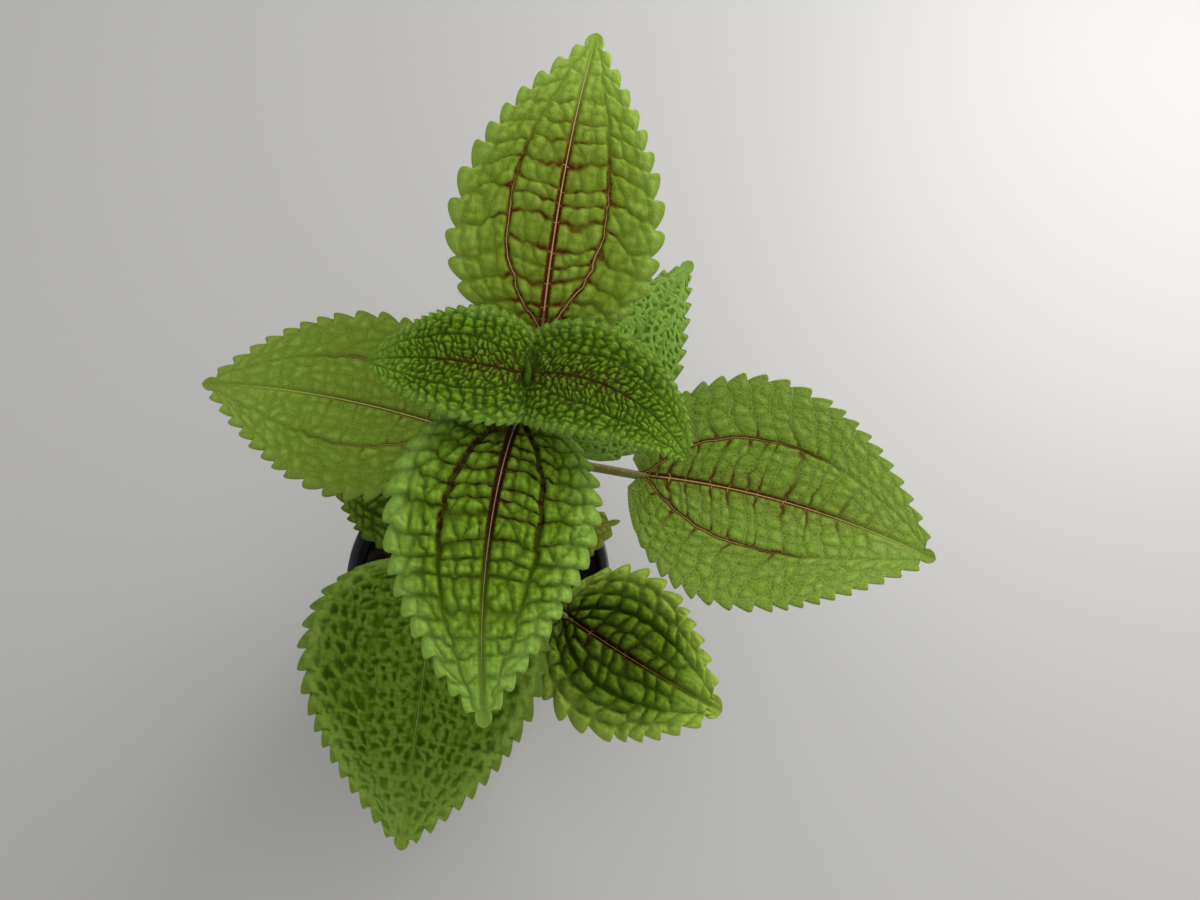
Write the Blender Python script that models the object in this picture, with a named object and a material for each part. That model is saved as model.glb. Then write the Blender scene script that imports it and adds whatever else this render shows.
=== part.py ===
"""A young quilted-leaf pilea, growing in a small round nursery pot.

Millimetres are written as numbers times MM. +Z is up, and the origin is the centre of the
pot's flat underside. Seen from the front, +X is to the right and +Y to the back.
"""
import math

import bmesh
import bpy
from mathutils import Vector

MM = 0.001
GAP = 0.3 * MM

# The pot: its turned outline, and the holes in its floor
POT_SIDES = 48
POT_HEIGHT = 80 * MM
RIM_RADIUS = 45 * MM
BASE_RADIUS = 32 * MM
WALL = 1.1 * MM
FLOOR = 1.7 * MM
LIP_WIDTH = 3 * MM
LIP_HEIGHT = 3 * MM
LIP_ROUND = 0.6 * MM
COLLAR_HEIGHT = 13 * MM
COLLAR_STEP = 1.6 * MM
COLLAR_DRAFT = 0.2 * MM
STEP_HEIGHT = 1 * MM
BASE_CHAMFER = 1.5 * MM
DRAIN_HOLES = 6
DRAIN_RADIUS = 3.5 * MM
DRAIN_CIRCLE = 21 * MM

# The soil: how far it lies under the rim, and its lumps
SOIL_SIDES = 32
SOIL_RINGS = 7
SOIL_DEPTH = 9 * MM
SOIL_LUMP = 0.9 * MM

# The stem: its way up through the nodes, each with the stem's radius there
STEM_FOOT = Vector((0.5, 1.5, 42)) * MM
STEM_COLLAR = Vector((1.8, 3.4, 72)) * MM
NODES = {
    "e": Vector((3, 5, 82)) * MM,
    "d": Vector((6, 10, 104)) * MM,
    "c": Vector((12, 22, 130)) * MM,
    "b": Vector((16.5, 32, 156)) * MM,
    "a": Vector((17.5, 30, 169.5)) * MM,
}
NODE_RADIUS = {"e": 2.6 * MM, "d": 2.4 * MM, "c": 2.1 * MM, "b": 1.7 * MM, "a": 1.0 * MM}
STEM_FOOT_RADIUS = 2.3 * MM
INTERNODE_THINNING = 0.8
INTERNODE_WAIST = 0.6
NODE_SWELLING = 2.5 * MM
STEM_TIP = 1.4 * MM

# The bud at the tip of the stem, of two halves that stand a little apart
BUD_SIZE = Vector((0.9, 2.4, 2.4)) * MM
BUD_CENTRE = NODES["a"] + Vector((0, -0.3, 4.3)) * MM
BUD_APART = Vector((0.1, 0.9, 0.2)) * MM

# What all the blades share: thickness, ribs, and where veins and cells lie across a half
BLADE_THICKNESS = 0.8 * MM
RIB_DEPTH = 0.5 * MM
BLADE_COLUMNS = 8
LATERAL_PLACE = 0.48
OUTER_CELL_PLACE = 0.76
VEIN_SINK = 0.3
FORWARD_BOW = 0.02
BOW_POWER = 1.6

# The teeth: how they crowd and shrink towards both ends, and their shape as shares of a tooth
TOOTH_CROWDING = 0.45
FIRST_TOOTH = 0.03
FULL_TOOTH = 0.16
TOOTH_TO_WIDTH = 0.3
TOOTH_TO_SPACING = 0.75
TIP_OUT = 0.4
TIP_AHEAD = 0.4
NOTCH_IN = 0.6
NOTCH_AHEAD = 0.1

# The petiole: where it bends, how far it runs on under the blade, and how it thins on the way
PETIOLE_BEND = 0.45
UNDER_BLADE = (0.035, 0.08)
PETIOLE_SHARES = (1.0, 0.95, 0.85, 0.65, 0.3)


def degrees(angle):
    return angle * math.pi / 180


def direction(azimuth, rise):
    """A unit vector, from degrees round from +X and degrees up."""
    across = math.cos(degrees(rise))
    return Vector((
        across * math.cos(degrees(azimuth)),
        across * math.sin(degrees(azimuth)),
        math.sin(degrees(rise)),
    ))


class Leaf:
    """One leaf: a petiole that leaves the stem at a node, and a toothed and quilted blade.

    petiole is its azimuth, its length in millimetres and its rise, and it leaves the stem
    steeper than that by arch. The blade starts off in its azimuth and rise, and by its tip it
    has turned by sweep and come down by droop. roll lifts its left half, and fold and curl
    bend it across. Its outline is widest at fullness / (fullness + taper) of its length, and
    shoulder is how far its lobes reach back beside the petiole. Angles are in degrees.
    """

    def __init__(self, name, node, petiole, arch, stalk, azimuth, rise, droop, sweep, roll,
                 length, half_width, fullness, taper, shoulder, fold, curl, teeth, tooth, quilt,
                 colour):
        self.name = name
        self.node = NODES[node]
        self.stalk = stalk * MM
        self.petiole = petiole
        self.arch = arch
        self.base = self.node + direction(petiole[0], petiole[2]) * petiole[1] * MM
        self.azimuth = azimuth
        self.rise = rise
        self.droop = droop
        self.sweep = sweep
        self.roll = roll
        self.length = length * MM
        self.half_width = half_width * MM
        self.fullness = fullness
        self.taper = taper
        self.shoulder = shoulder
        self.fold = fold
        self.curl = curl
        self.teeth = teeth
        self.tooth = tooth * MM
        self.quilt = quilt * MM
        self.colour = colour

    def heading(self, u):
        return direction(self.azimuth + self.sweep * u, self.rise - self.droop * u)

    def midrib(self, u):
        """The point on the midrib at the share u of its length."""
        steps = 24
        point = self.base.copy()
        for step in range(steps):
            point += self.heading(u * (step + 0.5) / steps) * self.length * u / steps
        return point

    def breadth(self, u):
        """The blade's half width at u, as a share of its greatest half width."""
        widest = self.fullness / (self.fullness + self.taper)
        u = min(max(u, 0), 1)
        return (u / widest) ** self.fullness * ((1 - u) / (1 - widest)) ** self.taper

    def station(self, row):
        """The share of the length at which a row of the grid meets the midrib.

        Rows stand closer at both ends, so that the teeth are even along the margin.
        """
        even = row / (2 * self.teeth)
        return even - TOOTH_CROWDING * math.sin(2 * math.pi * even) / (2 * math.pi)

    def flat(self, u, v):
        """Where the point u along and v across lies on the blade laid out flat."""
        set_back = self.shoulder * (1 - u) ** 5 - FORWARD_BOW * math.sin(math.pi * u)
        along = (u - set_back * abs(v) ** BOW_POWER) * self.length
        return Vector((along, v * self.half_width * self.breadth(u)))

    def margin(self, row, side):
        """A tooth's tip on odd rows and the notch between two teeth on even ones."""
        u = self.station(row)
        here = self.flat(u, side)
        step = 0.01
        ahead = self.flat(min(u + step, 1), side) - self.flat(max(u - step, 0), side)
        ahead.normalize()
        outward = Vector((-ahead.y, ahead.x)) * side
        from_base = max((u - FIRST_TOOTH) / (FULL_TOOTH - FIRST_TOOTH), 0)
        row_spacing = (self.station(row + 0.5) - self.station(row - 0.5)) * self.length
        size = min(self.tooth, self.tooth * from_base)
        size = min(size, abs(here.y) * TOOTH_TO_WIDTH, row_spacing * TOOTH_TO_SPACING)
        if row % 2:
            return here + outward * TIP_OUT * size + ahead * TIP_AHEAD * size
        return here - outward * NOTCH_IN * size + ahead * NOTCH_AHEAD * size

    def relief(self, row, column):
        """The quilting: each cell between the veins stands up, and the veins lie low."""
        on_cell = row % 2 and column % 2
        on_vein = not column % 2
        if on_cell:
            return self.quilt
        return -VEIN_SINK * self.quilt if on_vein else 0

    def raised(self, flat, height):
        """A point of the flat blade, carried up to its place in space."""
        u = flat.x / self.length
        ahead = self.heading(u)
        level_side = Vector((0, 0, 1)).cross(ahead).normalized()
        up = ahead.cross(level_side)
        tilt = degrees(self.roll)
        side = level_side * math.cos(tilt) + up * math.sin(tilt)
        normal = up * math.cos(tilt) - level_side * math.sin(tilt)
        height += self.fold * abs(flat.y) + self.curl * flat.y ** 2 / self.half_width
        return self.midrib(u) + side * flat.y + normal * height


# The pairs from the top of the stem down, each set a quarter turn from the next
LEAVES = [
    Leaf("leaf_a_left", "a", petiole=(186, 5.2, 67), arch=-42, stalk=0.55, azimuth=176, rise=24,
         droop=60, sweep=-6, roll=0, length=43, half_width=16.5, fullness=0.28, taper=0.85,
         shoulder=0.035, fold=0.07, curl=0.0, teeth=11, tooth=1.6, quilt=0.7,
         colour=(0.09, 0.25, 0.03)),
    Leaf("leaf_a_right", "a", petiole=(-6, 5.2, 67), arch=-42, stalk=0.55, azimuth=-9, rise=30,
         droop=78, sweep=-38, roll=0, length=51, half_width=16.5, fullness=0.28, taper=0.95,
         shoulder=0.035, fold=0.05, curl=0.0, teeth=12, tooth=1.6, quilt=0.7,
         colour=(0.09, 0.25, 0.03)),
    Leaf("leaf_b_back", "b", petiole=(74, 18, 34), arch=12, stalk=1.1, azimuth=84, rise=34,
         droop=32, sweep=-7, roll=1, length=89, half_width=29, fullness=0.52, taper=1.15,
         shoulder=0.04, fold=0.0, curl=-0.06, teeth=15, tooth=2.6, quilt=0.9,
         colour=(0.24, 0.42, 0.06)),
    Leaf("leaf_b_front", "b", petiole=(-97, 14, 46), arch=12, stalk=1.1, azimuth=-104, rise=20,
         droop=48, sweep=20, roll=-3, length=83, half_width=27, fullness=0.54, taper=1.1,
         shoulder=0.04, fold=0.0, curl=-0.08, teeth=15, tooth=2.3, quilt=1.2,
         colour=(0.20, 0.40, 0.05)),
    Leaf("leaf_c_left", "c", petiole=(162, 22, 36), arch=12, stalk=1.3, azimuth=165, rise=9,
         droop=22, sweep=9, roll=-3, length=76, half_width=28.5, fullness=0.52, taper=1.05,
         shoulder=0.04, fold=0.06, curl=-0.02, teeth=18, tooth=1.9, quilt=0.5,
         colour=(0.26, 0.43, 0.08)),
    Leaf("leaf_c_right", "c", petiole=(-12, 41, 20), arch=12, stalk=1.45, azimuth=-11, rise=16,
         droop=17, sweep=-16, roll=0, length=84, half_width=34.5, fullness=0.54, taper=1.0,
         shoulder=0.04, fold=0.1, curl=0.03, teeth=22, tooth=1.9, quilt=0.6,
         colour=(0.25, 0.42, 0.08)),
    Leaf("leaf_d_front", "d", petiole=(-133, 25, 24), arch=12, stalk=1.4, azimuth=-94, rise=1,
         droop=33, sweep=-4, roll=3, length=84, half_width=36.5, fullness=0.42, taper=1.05,
         shoulder=0.04, fold=0.1, curl=0.05, teeth=19, tooth=2.3, quilt=0.9,
         colour=(0.12, 0.27, 0.04)),
    Leaf("leaf_d_back", "d", petiole=(48, 37, 22), arch=12, stalk=1.4, azimuth=56, rise=20,
         droop=25, sweep=1, roll=8, length=76, half_width=22.5, fullness=0.4, taper=1.15,
         shoulder=0.04, fold=0.0, curl=-0.2, teeth=15, tooth=2.4, quilt=0.9,
         colour=(0.12, 0.27, 0.04)),
    Leaf("leaf_e_right", "e", petiole=(-40, 36, 24), arch=12, stalk=1.2, azimuth=-34, rise=1,
         droop=28, sweep=11, roll=0, length=63, half_width=27, fullness=0.46, taper=1.0,
         shoulder=0.04, fold=0.04, curl=-0.03, teeth=13, tooth=2.3, quilt=1.1,
         colour=(0.12, 0.28, 0.04)),
    Leaf("leaf_e_left", "e", petiole=(140, 24, 22), arch=12, stalk=1.1, azimuth=162, rise=2,
         droop=20, sweep=0, roll=0, length=41, half_width=18, fullness=0.46, taper=1.1,
         shoulder=0.04, fold=0.04, curl=-0.03, teeth=10, tooth=1.9, quilt=0.8,
         colour=(0.08, 0.18, 0.03)),
    Leaf("leaf_f_side", "e", petiole=(8, 22, 40), arch=12, stalk=0.7, azimuth=14, rise=4,
         droop=16, sweep=6, roll=0, length=28, half_width=8.5, fullness=0.46, taper=1.0,
         shoulder=0.04, fold=0.05, curl=-0.05, teeth=7, tooth=1.2, quilt=0.4,
         colour=(0.17, 0.22, 0.05)),
]


def clear_scene():
    for item in list(bpy.data.objects):
        bpy.data.objects.remove(item, do_unlink=True)


def make_material(name, colour, roughness):
    material = bpy.data.materials.new(name)
    material.use_nodes = True
    shader = material.node_tree.nodes["Principled BSDF"]
    shader.inputs["Base Color"].default_value = (*colour, 1)
    shader.inputs["Roughness"].default_value = roughness
    shader.inputs["Metallic"].default_value = 0
    return material


def make_object(name, shape, material=None):
    """A named object from a bmesh, with its faces pointing out."""
    bmesh.ops.recalc_face_normals(shape, faces=shape.faces)
    mesh = bpy.data.meshes.new(name)
    shape.to_mesh(mesh)
    shape.free()
    item = bpy.data.objects.new(name, mesh)
    bpy.context.collection.objects.link(item)
    if material:
        mesh.materials.append(material)
    return item


def turned(outline, sides):
    """A closed solid of revolution, from an outline that starts and ends on the Z axis."""
    shape = bmesh.new()
    corners = [shape.verts.new((radius, 0, height)) for radius, height in outline]
    edges = [shape.edges.new(pair) for pair in zip(corners, corners[1:])]
    bmesh.ops.spin(shape, geom=corners + edges, cent=(0, 0, 0), axis=(0, 0, 1),
                   angle=2 * math.pi, steps=sides, use_merge=True)
    bmesh.ops.remove_doubles(shape, verts=shape.verts, dist=0.01 * MM)
    return shape


def tube(name, points, radii, sides_level, smoothness):
    """A mesh tube with closed ends along a smooth curve through the points."""
    curve = bpy.data.curves.new(name, "CURVE")
    curve.dimensions = "3D"
    curve.bevel_depth = MM
    curve.bevel_resolution = sides_level
    curve.resolution_u = smoothness
    curve.use_fill_caps = True
    spline = curve.splines.new("BEZIER")
    spline.bezier_points.add(len(points) - 1)
    for knot, point, radius in zip(spline.bezier_points, points, radii):
        knot.co = point
        knot.radius = radius / MM
        knot.handle_left_type = "AUTO"
        knot.handle_right_type = "AUTO"
    carrier = bpy.data.objects.new(name, curve)
    bpy.context.collection.objects.link(carrier)
    bpy.context.view_layer.update()
    drawn = carrier.evaluated_get(bpy.context.evaluated_depsgraph_get())
    shape = bmesh.new()
    shape.from_mesh(bpy.data.meshes.new_from_object(drawn))
    bmesh.ops.remove_doubles(shape, verts=shape.verts, dist=0.001 * MM)
    bpy.data.objects.remove(carrier, do_unlink=True)
    bpy.data.curves.remove(curve)
    return make_object(name, shape)


def combine(item, operation, others):
    """Joins the others to the item or cuts them from it, and removes them."""
    group = bpy.data.collections.new(item.name + "_parts")
    bpy.context.scene.collection.children.link(group)
    for other in others:
        group.objects.link(other)
    modifier = item.modifiers.new(operation.lower(), "BOOLEAN")
    modifier.operation = operation
    modifier.solver = "EXACT"
    modifier.operand_type = "COLLECTION"
    modifier.collection = group
    bpy.context.view_layer.update()
    result = item.evaluated_get(bpy.context.evaluated_depsgraph_get())
    mesh = bpy.data.meshes.new_from_object(result)
    item.modifiers.clear()
    item.data = mesh
    for other in others:
        bpy.data.objects.remove(other, do_unlink=True)
    bpy.data.collections.remove(group)


def make_pot():
    """A thin turned shell with a rolled lip, a collar under it and a floor with holes."""
    inner = RIM_RADIUS - LIP_WIDTH
    collar_foot = POT_HEIGHT - COLLAR_HEIGHT
    wall_top = inner + WALL - COLLAR_STEP
    outline = [
        (0, 0),
        (BASE_RADIUS - BASE_CHAMFER, 0),
        (BASE_RADIUS, BASE_CHAMFER),
        (wall_top, collar_foot - STEP_HEIGHT),
        (inner - COLLAR_DRAFT + WALL, collar_foot),
        (inner + WALL, POT_HEIGHT - LIP_HEIGHT),
        (RIM_RADIUS, POT_HEIGHT - LIP_HEIGHT + LIP_ROUND),
        (RIM_RADIUS, POT_HEIGHT - LIP_ROUND),
        (RIM_RADIUS - LIP_ROUND, POT_HEIGHT),
        (inner + LIP_ROUND, POT_HEIGHT),
        (inner, POT_HEIGHT - LIP_ROUND),
        (inner - COLLAR_DRAFT, collar_foot),
        (wall_top - WALL, collar_foot - STEP_HEIGHT),
        (BASE_RADIUS - WALL, FLOOR),
        (0, FLOOR),
    ]
    pot = make_object("pot", turned(outline, POT_SIDES), make_material("pot", (0.012,) * 3, 0.45))
    drills = []
    for number in range(DRAIN_HOLES):
        angle = 2 * math.pi * number / DRAIN_HOLES
        drill = bmesh.new()
        bmesh.ops.create_cone(drill, cap_ends=True, segments=12, radius1=DRAIN_RADIUS,
                              radius2=DRAIN_RADIUS, depth=4 * FLOOR)
        place = Vector((DRAIN_CIRCLE * math.cos(angle), DRAIN_CIRCLE * math.sin(angle), 0))
        bmesh.ops.translate(drill, verts=drill.verts, vec=place)
        drills.append(make_object(f"drill_{number}", drill))
    combine(pot, "DIFFERENCE", drills)


def soil_level(x, y):
    """The height of the lumpy top of the soil, from broad waves and smaller ones across them."""
    broad = math.sin(x * 310 + 0.7) * math.cos(y * 270 - 0.4)
    small = 0.6 * math.sin(x * 520 + y * 430 + 1.9)
    return POT_HEIGHT - SOIL_DEPTH + SOIL_LUMP * (broad + small) / 1.6


def make_soil():
    """The filling, which follows the pot's inner wall, with a hole for the stem."""
    inner = RIM_RADIUS - LIP_WIDTH
    collar_foot = POT_HEIGHT - COLLAR_HEIGHT
    wall_gap = 1.5 * GAP
    top_radius = inner - COLLAR_DRAFT - wall_gap
    level = POT_HEIGHT - SOIL_DEPTH
    outline = [
        (0, FLOOR + GAP),
        (BASE_RADIUS - WALL - wall_gap, FLOOR + GAP),
        (inner - COLLAR_STEP - wall_gap, collar_foot - STEP_HEIGHT),
        (top_radius, collar_foot + STEP_HEIGHT / 2),
    ]
    for ring in range(SOIL_RINGS + 1):
        outline.append((top_radius * (1 - ring / SOIL_RINGS), level))
    shape = turned(outline, SOIL_SIDES)
    for corner in shape.verts:
        if corner.co.z > level - 0.1 * MM:
            corner.co.z = soil_level(corner.co.x, corner.co.y)
    soil = make_object("soil", shape, make_material("soil", (0.02, 0.014, 0.01), 0.95))
    combine(soil, "DIFFERENCE", [stem_tube("stem_hole", GAP, GAP)])


def stem_tube(name, extra_radius, extra_length):
    """The stem, thicker at each node, or the same with some room all round."""
    foot = STEM_FOOT - Vector((0, 0, extra_length))
    stops = [(foot, STEM_FOOT_RADIUS), (STEM_COLLAR, NODE_RADIUS["e"] * INTERNODE_THINNING)]
    names = list(NODES)
    for name_here, name_next in zip(names, names[1:] + [None]):
        node = NODES[name_here]
        radius = NODE_RADIUS[name_here]
        stops.append((node, radius))
        if name_next:
            upward = (NODES[name_next] - node).normalized()
            stops.append((node + upward * NODE_SWELLING, radius * INTERNODE_THINNING))
            between = node.lerp(NODES[name_next], INTERNODE_WAIST)
            stops.append((between, NODE_RADIUS[name_next] * INTERNODE_THINNING))
        else:
            tip = node + Vector((0, 0, STEM_TIP + extra_length))
            stops.append((tip, radius * INTERNODE_THINNING))
    points = [point for point, radius in stops]
    radii = [radius + extra_radius for point, radius in stops]
    return tube(name, points, radii, sides_level=2, smoothness=2)


def make_stem():
    stem = stem_tube("stem", 0, 0)
    stem.data.materials.append(make_material("stem", (0.16, 0.17, 0.05), 0.5))


def make_bud():
    """Two tiny leaves, still pressed together."""
    halves = []
    for side in (-1, 1):
        half = bmesh.new()
        bmesh.ops.create_uvsphere(half, u_segments=8, v_segments=6, radius=1)
        bmesh.ops.scale(half, vec=BUD_SIZE, verts=half.verts)
        bmesh.ops.translate(half, verts=half.verts, vec=BUD_CENTRE + BUD_APART * side)
        halves.append(half)
    material = make_material("bud_tip", (0.2, 0.3, 0.1), 0.6)
    bud = make_object("bud_tip", halves[0], material)
    combine(bud, "UNION", [make_object("bud_half", halves[1])])


def blade_shape(leaf):
    """The blade: a grid, doubled for its thickness, with every corner set by the leaf."""
    shape = bmesh.new()
    rows = 2 * leaf.teeth
    bmesh.ops.create_grid(shape, x_segments=rows, y_segments=BLADE_COLUMNS, size=1)
    right = [face for face in shape.faces if face.calc_center_median().y < 0]
    left = [face for face in shape.faces if face.calc_center_median().y > 0]
    bmesh.ops.triangulate(shape, faces=left, quad_method="FIXED")
    bmesh.ops.triangulate(shape, faces=right, quad_method="ALTERNATE")
    doubled = bmesh.ops.extrude_face_region(shape, geom=shape.faces[:])
    upper = {item for item in doubled["geom"] if isinstance(item, bmesh.types.BMVert)}
    edge_column = BLADE_COLUMNS // 2
    column_places = {0: 0, 1: LATERAL_PLACE / 2, 2: LATERAL_PLACE, 3: OUTER_CELL_PLACE}
    for corner in shape.verts:
        row = round((corner.co.x + 1) / 2 * rows)
        column = round(corner.co.y * edge_column)
        side = 1 if column > 0 else -1
        at_end = row in (0, rows)
        height = 0
        if at_end:
            flat = Vector((leaf.length * row / rows, 0))
        elif abs(column) == edge_column:
            flat = leaf.margin(row, side)
        else:
            flat = leaf.flat(leaf.station(row), side * column_places[abs(column)])
            height = leaf.relief(row, column)
        if corner not in upper:
            height -= BLADE_THICKNESS
            if abs(column) in (0, 2) and not at_end:
                height -= RIB_DEPTH * (1 - row / rows)
        corner.co = leaf.raised(flat, height)
    bmesh.ops.remove_doubles(shape, verts=shape.verts, dist=0.001 * MM)
    return shape


def petiole_points(leaf):
    """The stalk's way from the middle of the stem to the blade, and a little along it."""
    azimuth, length, rise = leaf.petiole
    leaving = direction(azimuth, rise + leaf.arch) * length * MM * PETIOLE_BEND
    middle = Vector((0, 0, BLADE_THICKNESS / 2))
    along = [leaf.midrib(u) - middle for u in (0, *UNDER_BLADE)]
    points = [leaf.node, leaf.node + leaving, *along]
    radii = [leaf.stalk * share for share in PETIOLE_SHARES]
    return points, radii


def make_leaf(leaf):
    material = make_material(leaf.name, leaf.colour, 0.5)
    item = make_object(leaf.name, blade_shape(leaf), material)
    points, radii = petiole_points(leaf)
    combine(item, "UNION", [tube(leaf.name + "_stalk", points, radii, 1, 3)])
    combine(item, "DIFFERENCE", [stem_tube("stem_room", GAP, GAP)])


clear_scene()
make_pot()
make_soil()
make_stem()
make_bud()
for leaf in LEAVES:
    make_leaf(leaf)
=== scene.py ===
"""The looks of a young quilted-leaf pilea in a small round nursery pot.

Millimetres are written as numbers times MM. +Z is up, and the origin is the centre of the
pot's flat underside. Seen from the front, +X is to the right and +Y to the back.
"""
import math
import random
from dataclasses import dataclass

import bmesh
import bpy
import numpy as np
from mathutils import Matrix, Vector, noise


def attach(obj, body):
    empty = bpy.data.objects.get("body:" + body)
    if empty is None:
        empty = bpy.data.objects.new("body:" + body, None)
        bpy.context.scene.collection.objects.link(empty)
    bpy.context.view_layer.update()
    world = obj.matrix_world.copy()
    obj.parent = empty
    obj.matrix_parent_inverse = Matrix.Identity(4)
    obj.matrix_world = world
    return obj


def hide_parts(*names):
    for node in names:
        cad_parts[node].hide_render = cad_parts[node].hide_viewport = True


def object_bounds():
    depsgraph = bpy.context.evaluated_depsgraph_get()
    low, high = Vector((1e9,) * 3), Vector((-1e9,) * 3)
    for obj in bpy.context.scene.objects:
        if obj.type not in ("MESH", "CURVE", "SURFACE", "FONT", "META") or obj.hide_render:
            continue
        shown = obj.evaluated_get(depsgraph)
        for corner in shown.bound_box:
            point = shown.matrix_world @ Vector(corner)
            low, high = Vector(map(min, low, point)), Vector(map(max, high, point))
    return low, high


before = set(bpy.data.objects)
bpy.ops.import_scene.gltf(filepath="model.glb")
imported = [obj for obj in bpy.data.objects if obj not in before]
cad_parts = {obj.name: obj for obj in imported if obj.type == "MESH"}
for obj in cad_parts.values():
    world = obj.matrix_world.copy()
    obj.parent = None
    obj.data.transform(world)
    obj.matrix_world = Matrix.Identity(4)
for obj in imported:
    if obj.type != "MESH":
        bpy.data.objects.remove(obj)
cad_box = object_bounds()
MM = 0.001

# The nursery pot, one thin shell moulded in black plastic. Its rolled lip stands out over a
# collar that steps in to the wall, and six round holes drain its floor. The skin is satin,
# with a faint grain from the mould and dull scuffs.
POT_HEIGHT = 80 * MM
RIM_RADIUS = 45 * MM
BASE_RADIUS = 32 * MM
POT_WALL = 1.1 * MM
POT_FLOOR = 1.7 * MM
LIP_WIDTH = 3 * MM
LIP_HEIGHT = 3 * MM
LIP_ROUND = 0.9 * MM
COLLAR_HEIGHT = 13 * MM
COLLAR_STEP = 1.6 * MM
COLLAR_DRAFT = 0.2 * MM
STEP_HEIGHT = 1 * MM
STEP_SOFTENING = 0.2 * MM
BASE_CHAMFER = 1.5 * MM
DRAIN_HOLES = 6
DRAIN_RADIUS = 3.5 * MM
DRAIN_CIRCLE = 21 * MM
POT_SIDES = 128
SHARP_EDGE = math.radians(40)
TOUCHING = 0.002 * MM  # corners nearer than this are one


class Wire:
    """A number on its way through a finish. Sums on it add Math nodes."""

    def __init__(self, finish, socket):
        self.finish = finish
        self.socket = socket

    def maths(self, operation, *others):
        values = dict(enumerate((self, *others)))
        return self.finish.node("ShaderNodeMath", values, operation=operation)

    def __add__(self, other):
        return self.maths("ADD", other)

    __radd__ = __add__

    def __sub__(self, other):
        return self.maths("SUBTRACT", other)

    def __rsub__(self, other):
        return self * -1 + other

    def __mul__(self, other):
        return self.maths("MULTIPLY", other)

    __rmul__ = __mul__

    def __truediv__(self, other):
        return self.maths("DIVIDE", other)

    def __pow__(self, other):
        return self.maths("POWER", other)

    def __abs__(self):
        return self.maths("ABSOLUTE")

    def highest(self, other):
        return self.maths("MAXIMUM", other)

    def step(self, low, high):
        """0 up to low and 1 from high on, with a smooth rise between. low may be the higher."""
        values = {"Value": self, 1: low, 2: high}
        return self.finish.node("ShaderNodeMapRange", values, interpolation_type="SMOOTHSTEP")


class Finish:
    """A material being made: its Principled shader, and the nodes that feed it."""

    def __init__(self, name, colour, roughness=0.5):
        self.material = bpy.data.materials.new(name)
        self.material.use_nodes = True
        self.tree = self.material.node_tree
        self.shader = self.tree.nodes["Principled BSDF"]
        self.set("Base Color", (*colour, 1))
        self.set("Roughness", roughness)

    def plug(self, socket, value):
        if isinstance(value, Wire):
            self.tree.links.new(value.socket, socket)
        else:
            socket.default_value = value

    def set(self, name, value):
        self.plug(self.shader.inputs[name], value)

    def node(self, kind, values, output=0, **settings):
        """A node of that kind, with its settings made first and then its sockets filled."""
        made = self.tree.nodes.new(kind)
        for name, setting in settings.items():
            setattr(made, name, setting)
        for name, value in values.items():
            self.plug(made.inputs[name], value)
        return Wire(self, made.outputs[output])

    def attribute(self, name, output="Fac"):
        return self.node("ShaderNodeAttribute", {}, output, attribute_name=name)

    def place(self):
        return self.node("ShaderNodeTexCoord", {}, "Object")

    def noise(self, place, scale, detail):
        """Soft noise round 0.5: about scale lumps to a unit of place, in detail finer layers."""
        values = {"Vector": place, "Scale": scale, "Detail": detail}
        return self.node("ShaderNodeTexNoise", values)

    def mix(self, share, under, over):
        """The colour under, covered by the colour over where share is 1."""
        colours = [(*c, 1) if isinstance(c, tuple) else c for c in (under, over)]
        values = {0: share, 6: colours[0], 7: colours[1]}
        return self.node("ShaderNodeMix", values, 2, data_type="RGBA")

    def bump(self, height, depth, strength):
        values = {"Height": height, "Distance": depth, "Strength": strength}
        self.set("Normal", self.node("ShaderNodeBump", values))


def put(name, shape, material, node=None):
    """An object from a bmesh, riding on the part, that stands for its CAD node."""
    mesh = bpy.data.meshes.new(name)
    shape.to_mesh(mesh)
    shape.free()
    mesh.shade_smooth()
    mesh.materials.append(material)
    piece = bpy.data.objects.new(name, mesh)
    bpy.context.scene.collection.objects.link(piece)
    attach(piece, "root")
    if node:
        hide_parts(node)
    return piece


def turned(outline, sides):
    """A closed solid of revolution, from an outline that starts and ends on the Z axis."""
    shape = bmesh.new()
    corners = [shape.verts.new((radius, 0, height)) for radius, height in outline]
    edges = [shape.edges.new(pair) for pair in zip(corners, corners[1:])]
    bmesh.ops.spin(shape, geom=corners + edges, cent=(0, 0, 0), axis=(0, 0, 1),
                   angle=2 * math.pi, steps=sides, use_merge=True)
    bmesh.ops.remove_doubles(shape, verts=shape.verts, dist=TOUCHING)
    bmesh.ops.recalc_face_normals(shape, faces=shape.faces)
    return shape


def rounded(centre, radius, start, end, steps=5):
    """Points of an arc in an outline, from one angle to another in degrees."""
    angles = [math.radians(start + (end - start) * step / steps) for step in range(steps + 1)]
    return [(centre[0] + radius * math.cos(a), centre[1] + radius * math.sin(a)) for a in angles]


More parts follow.
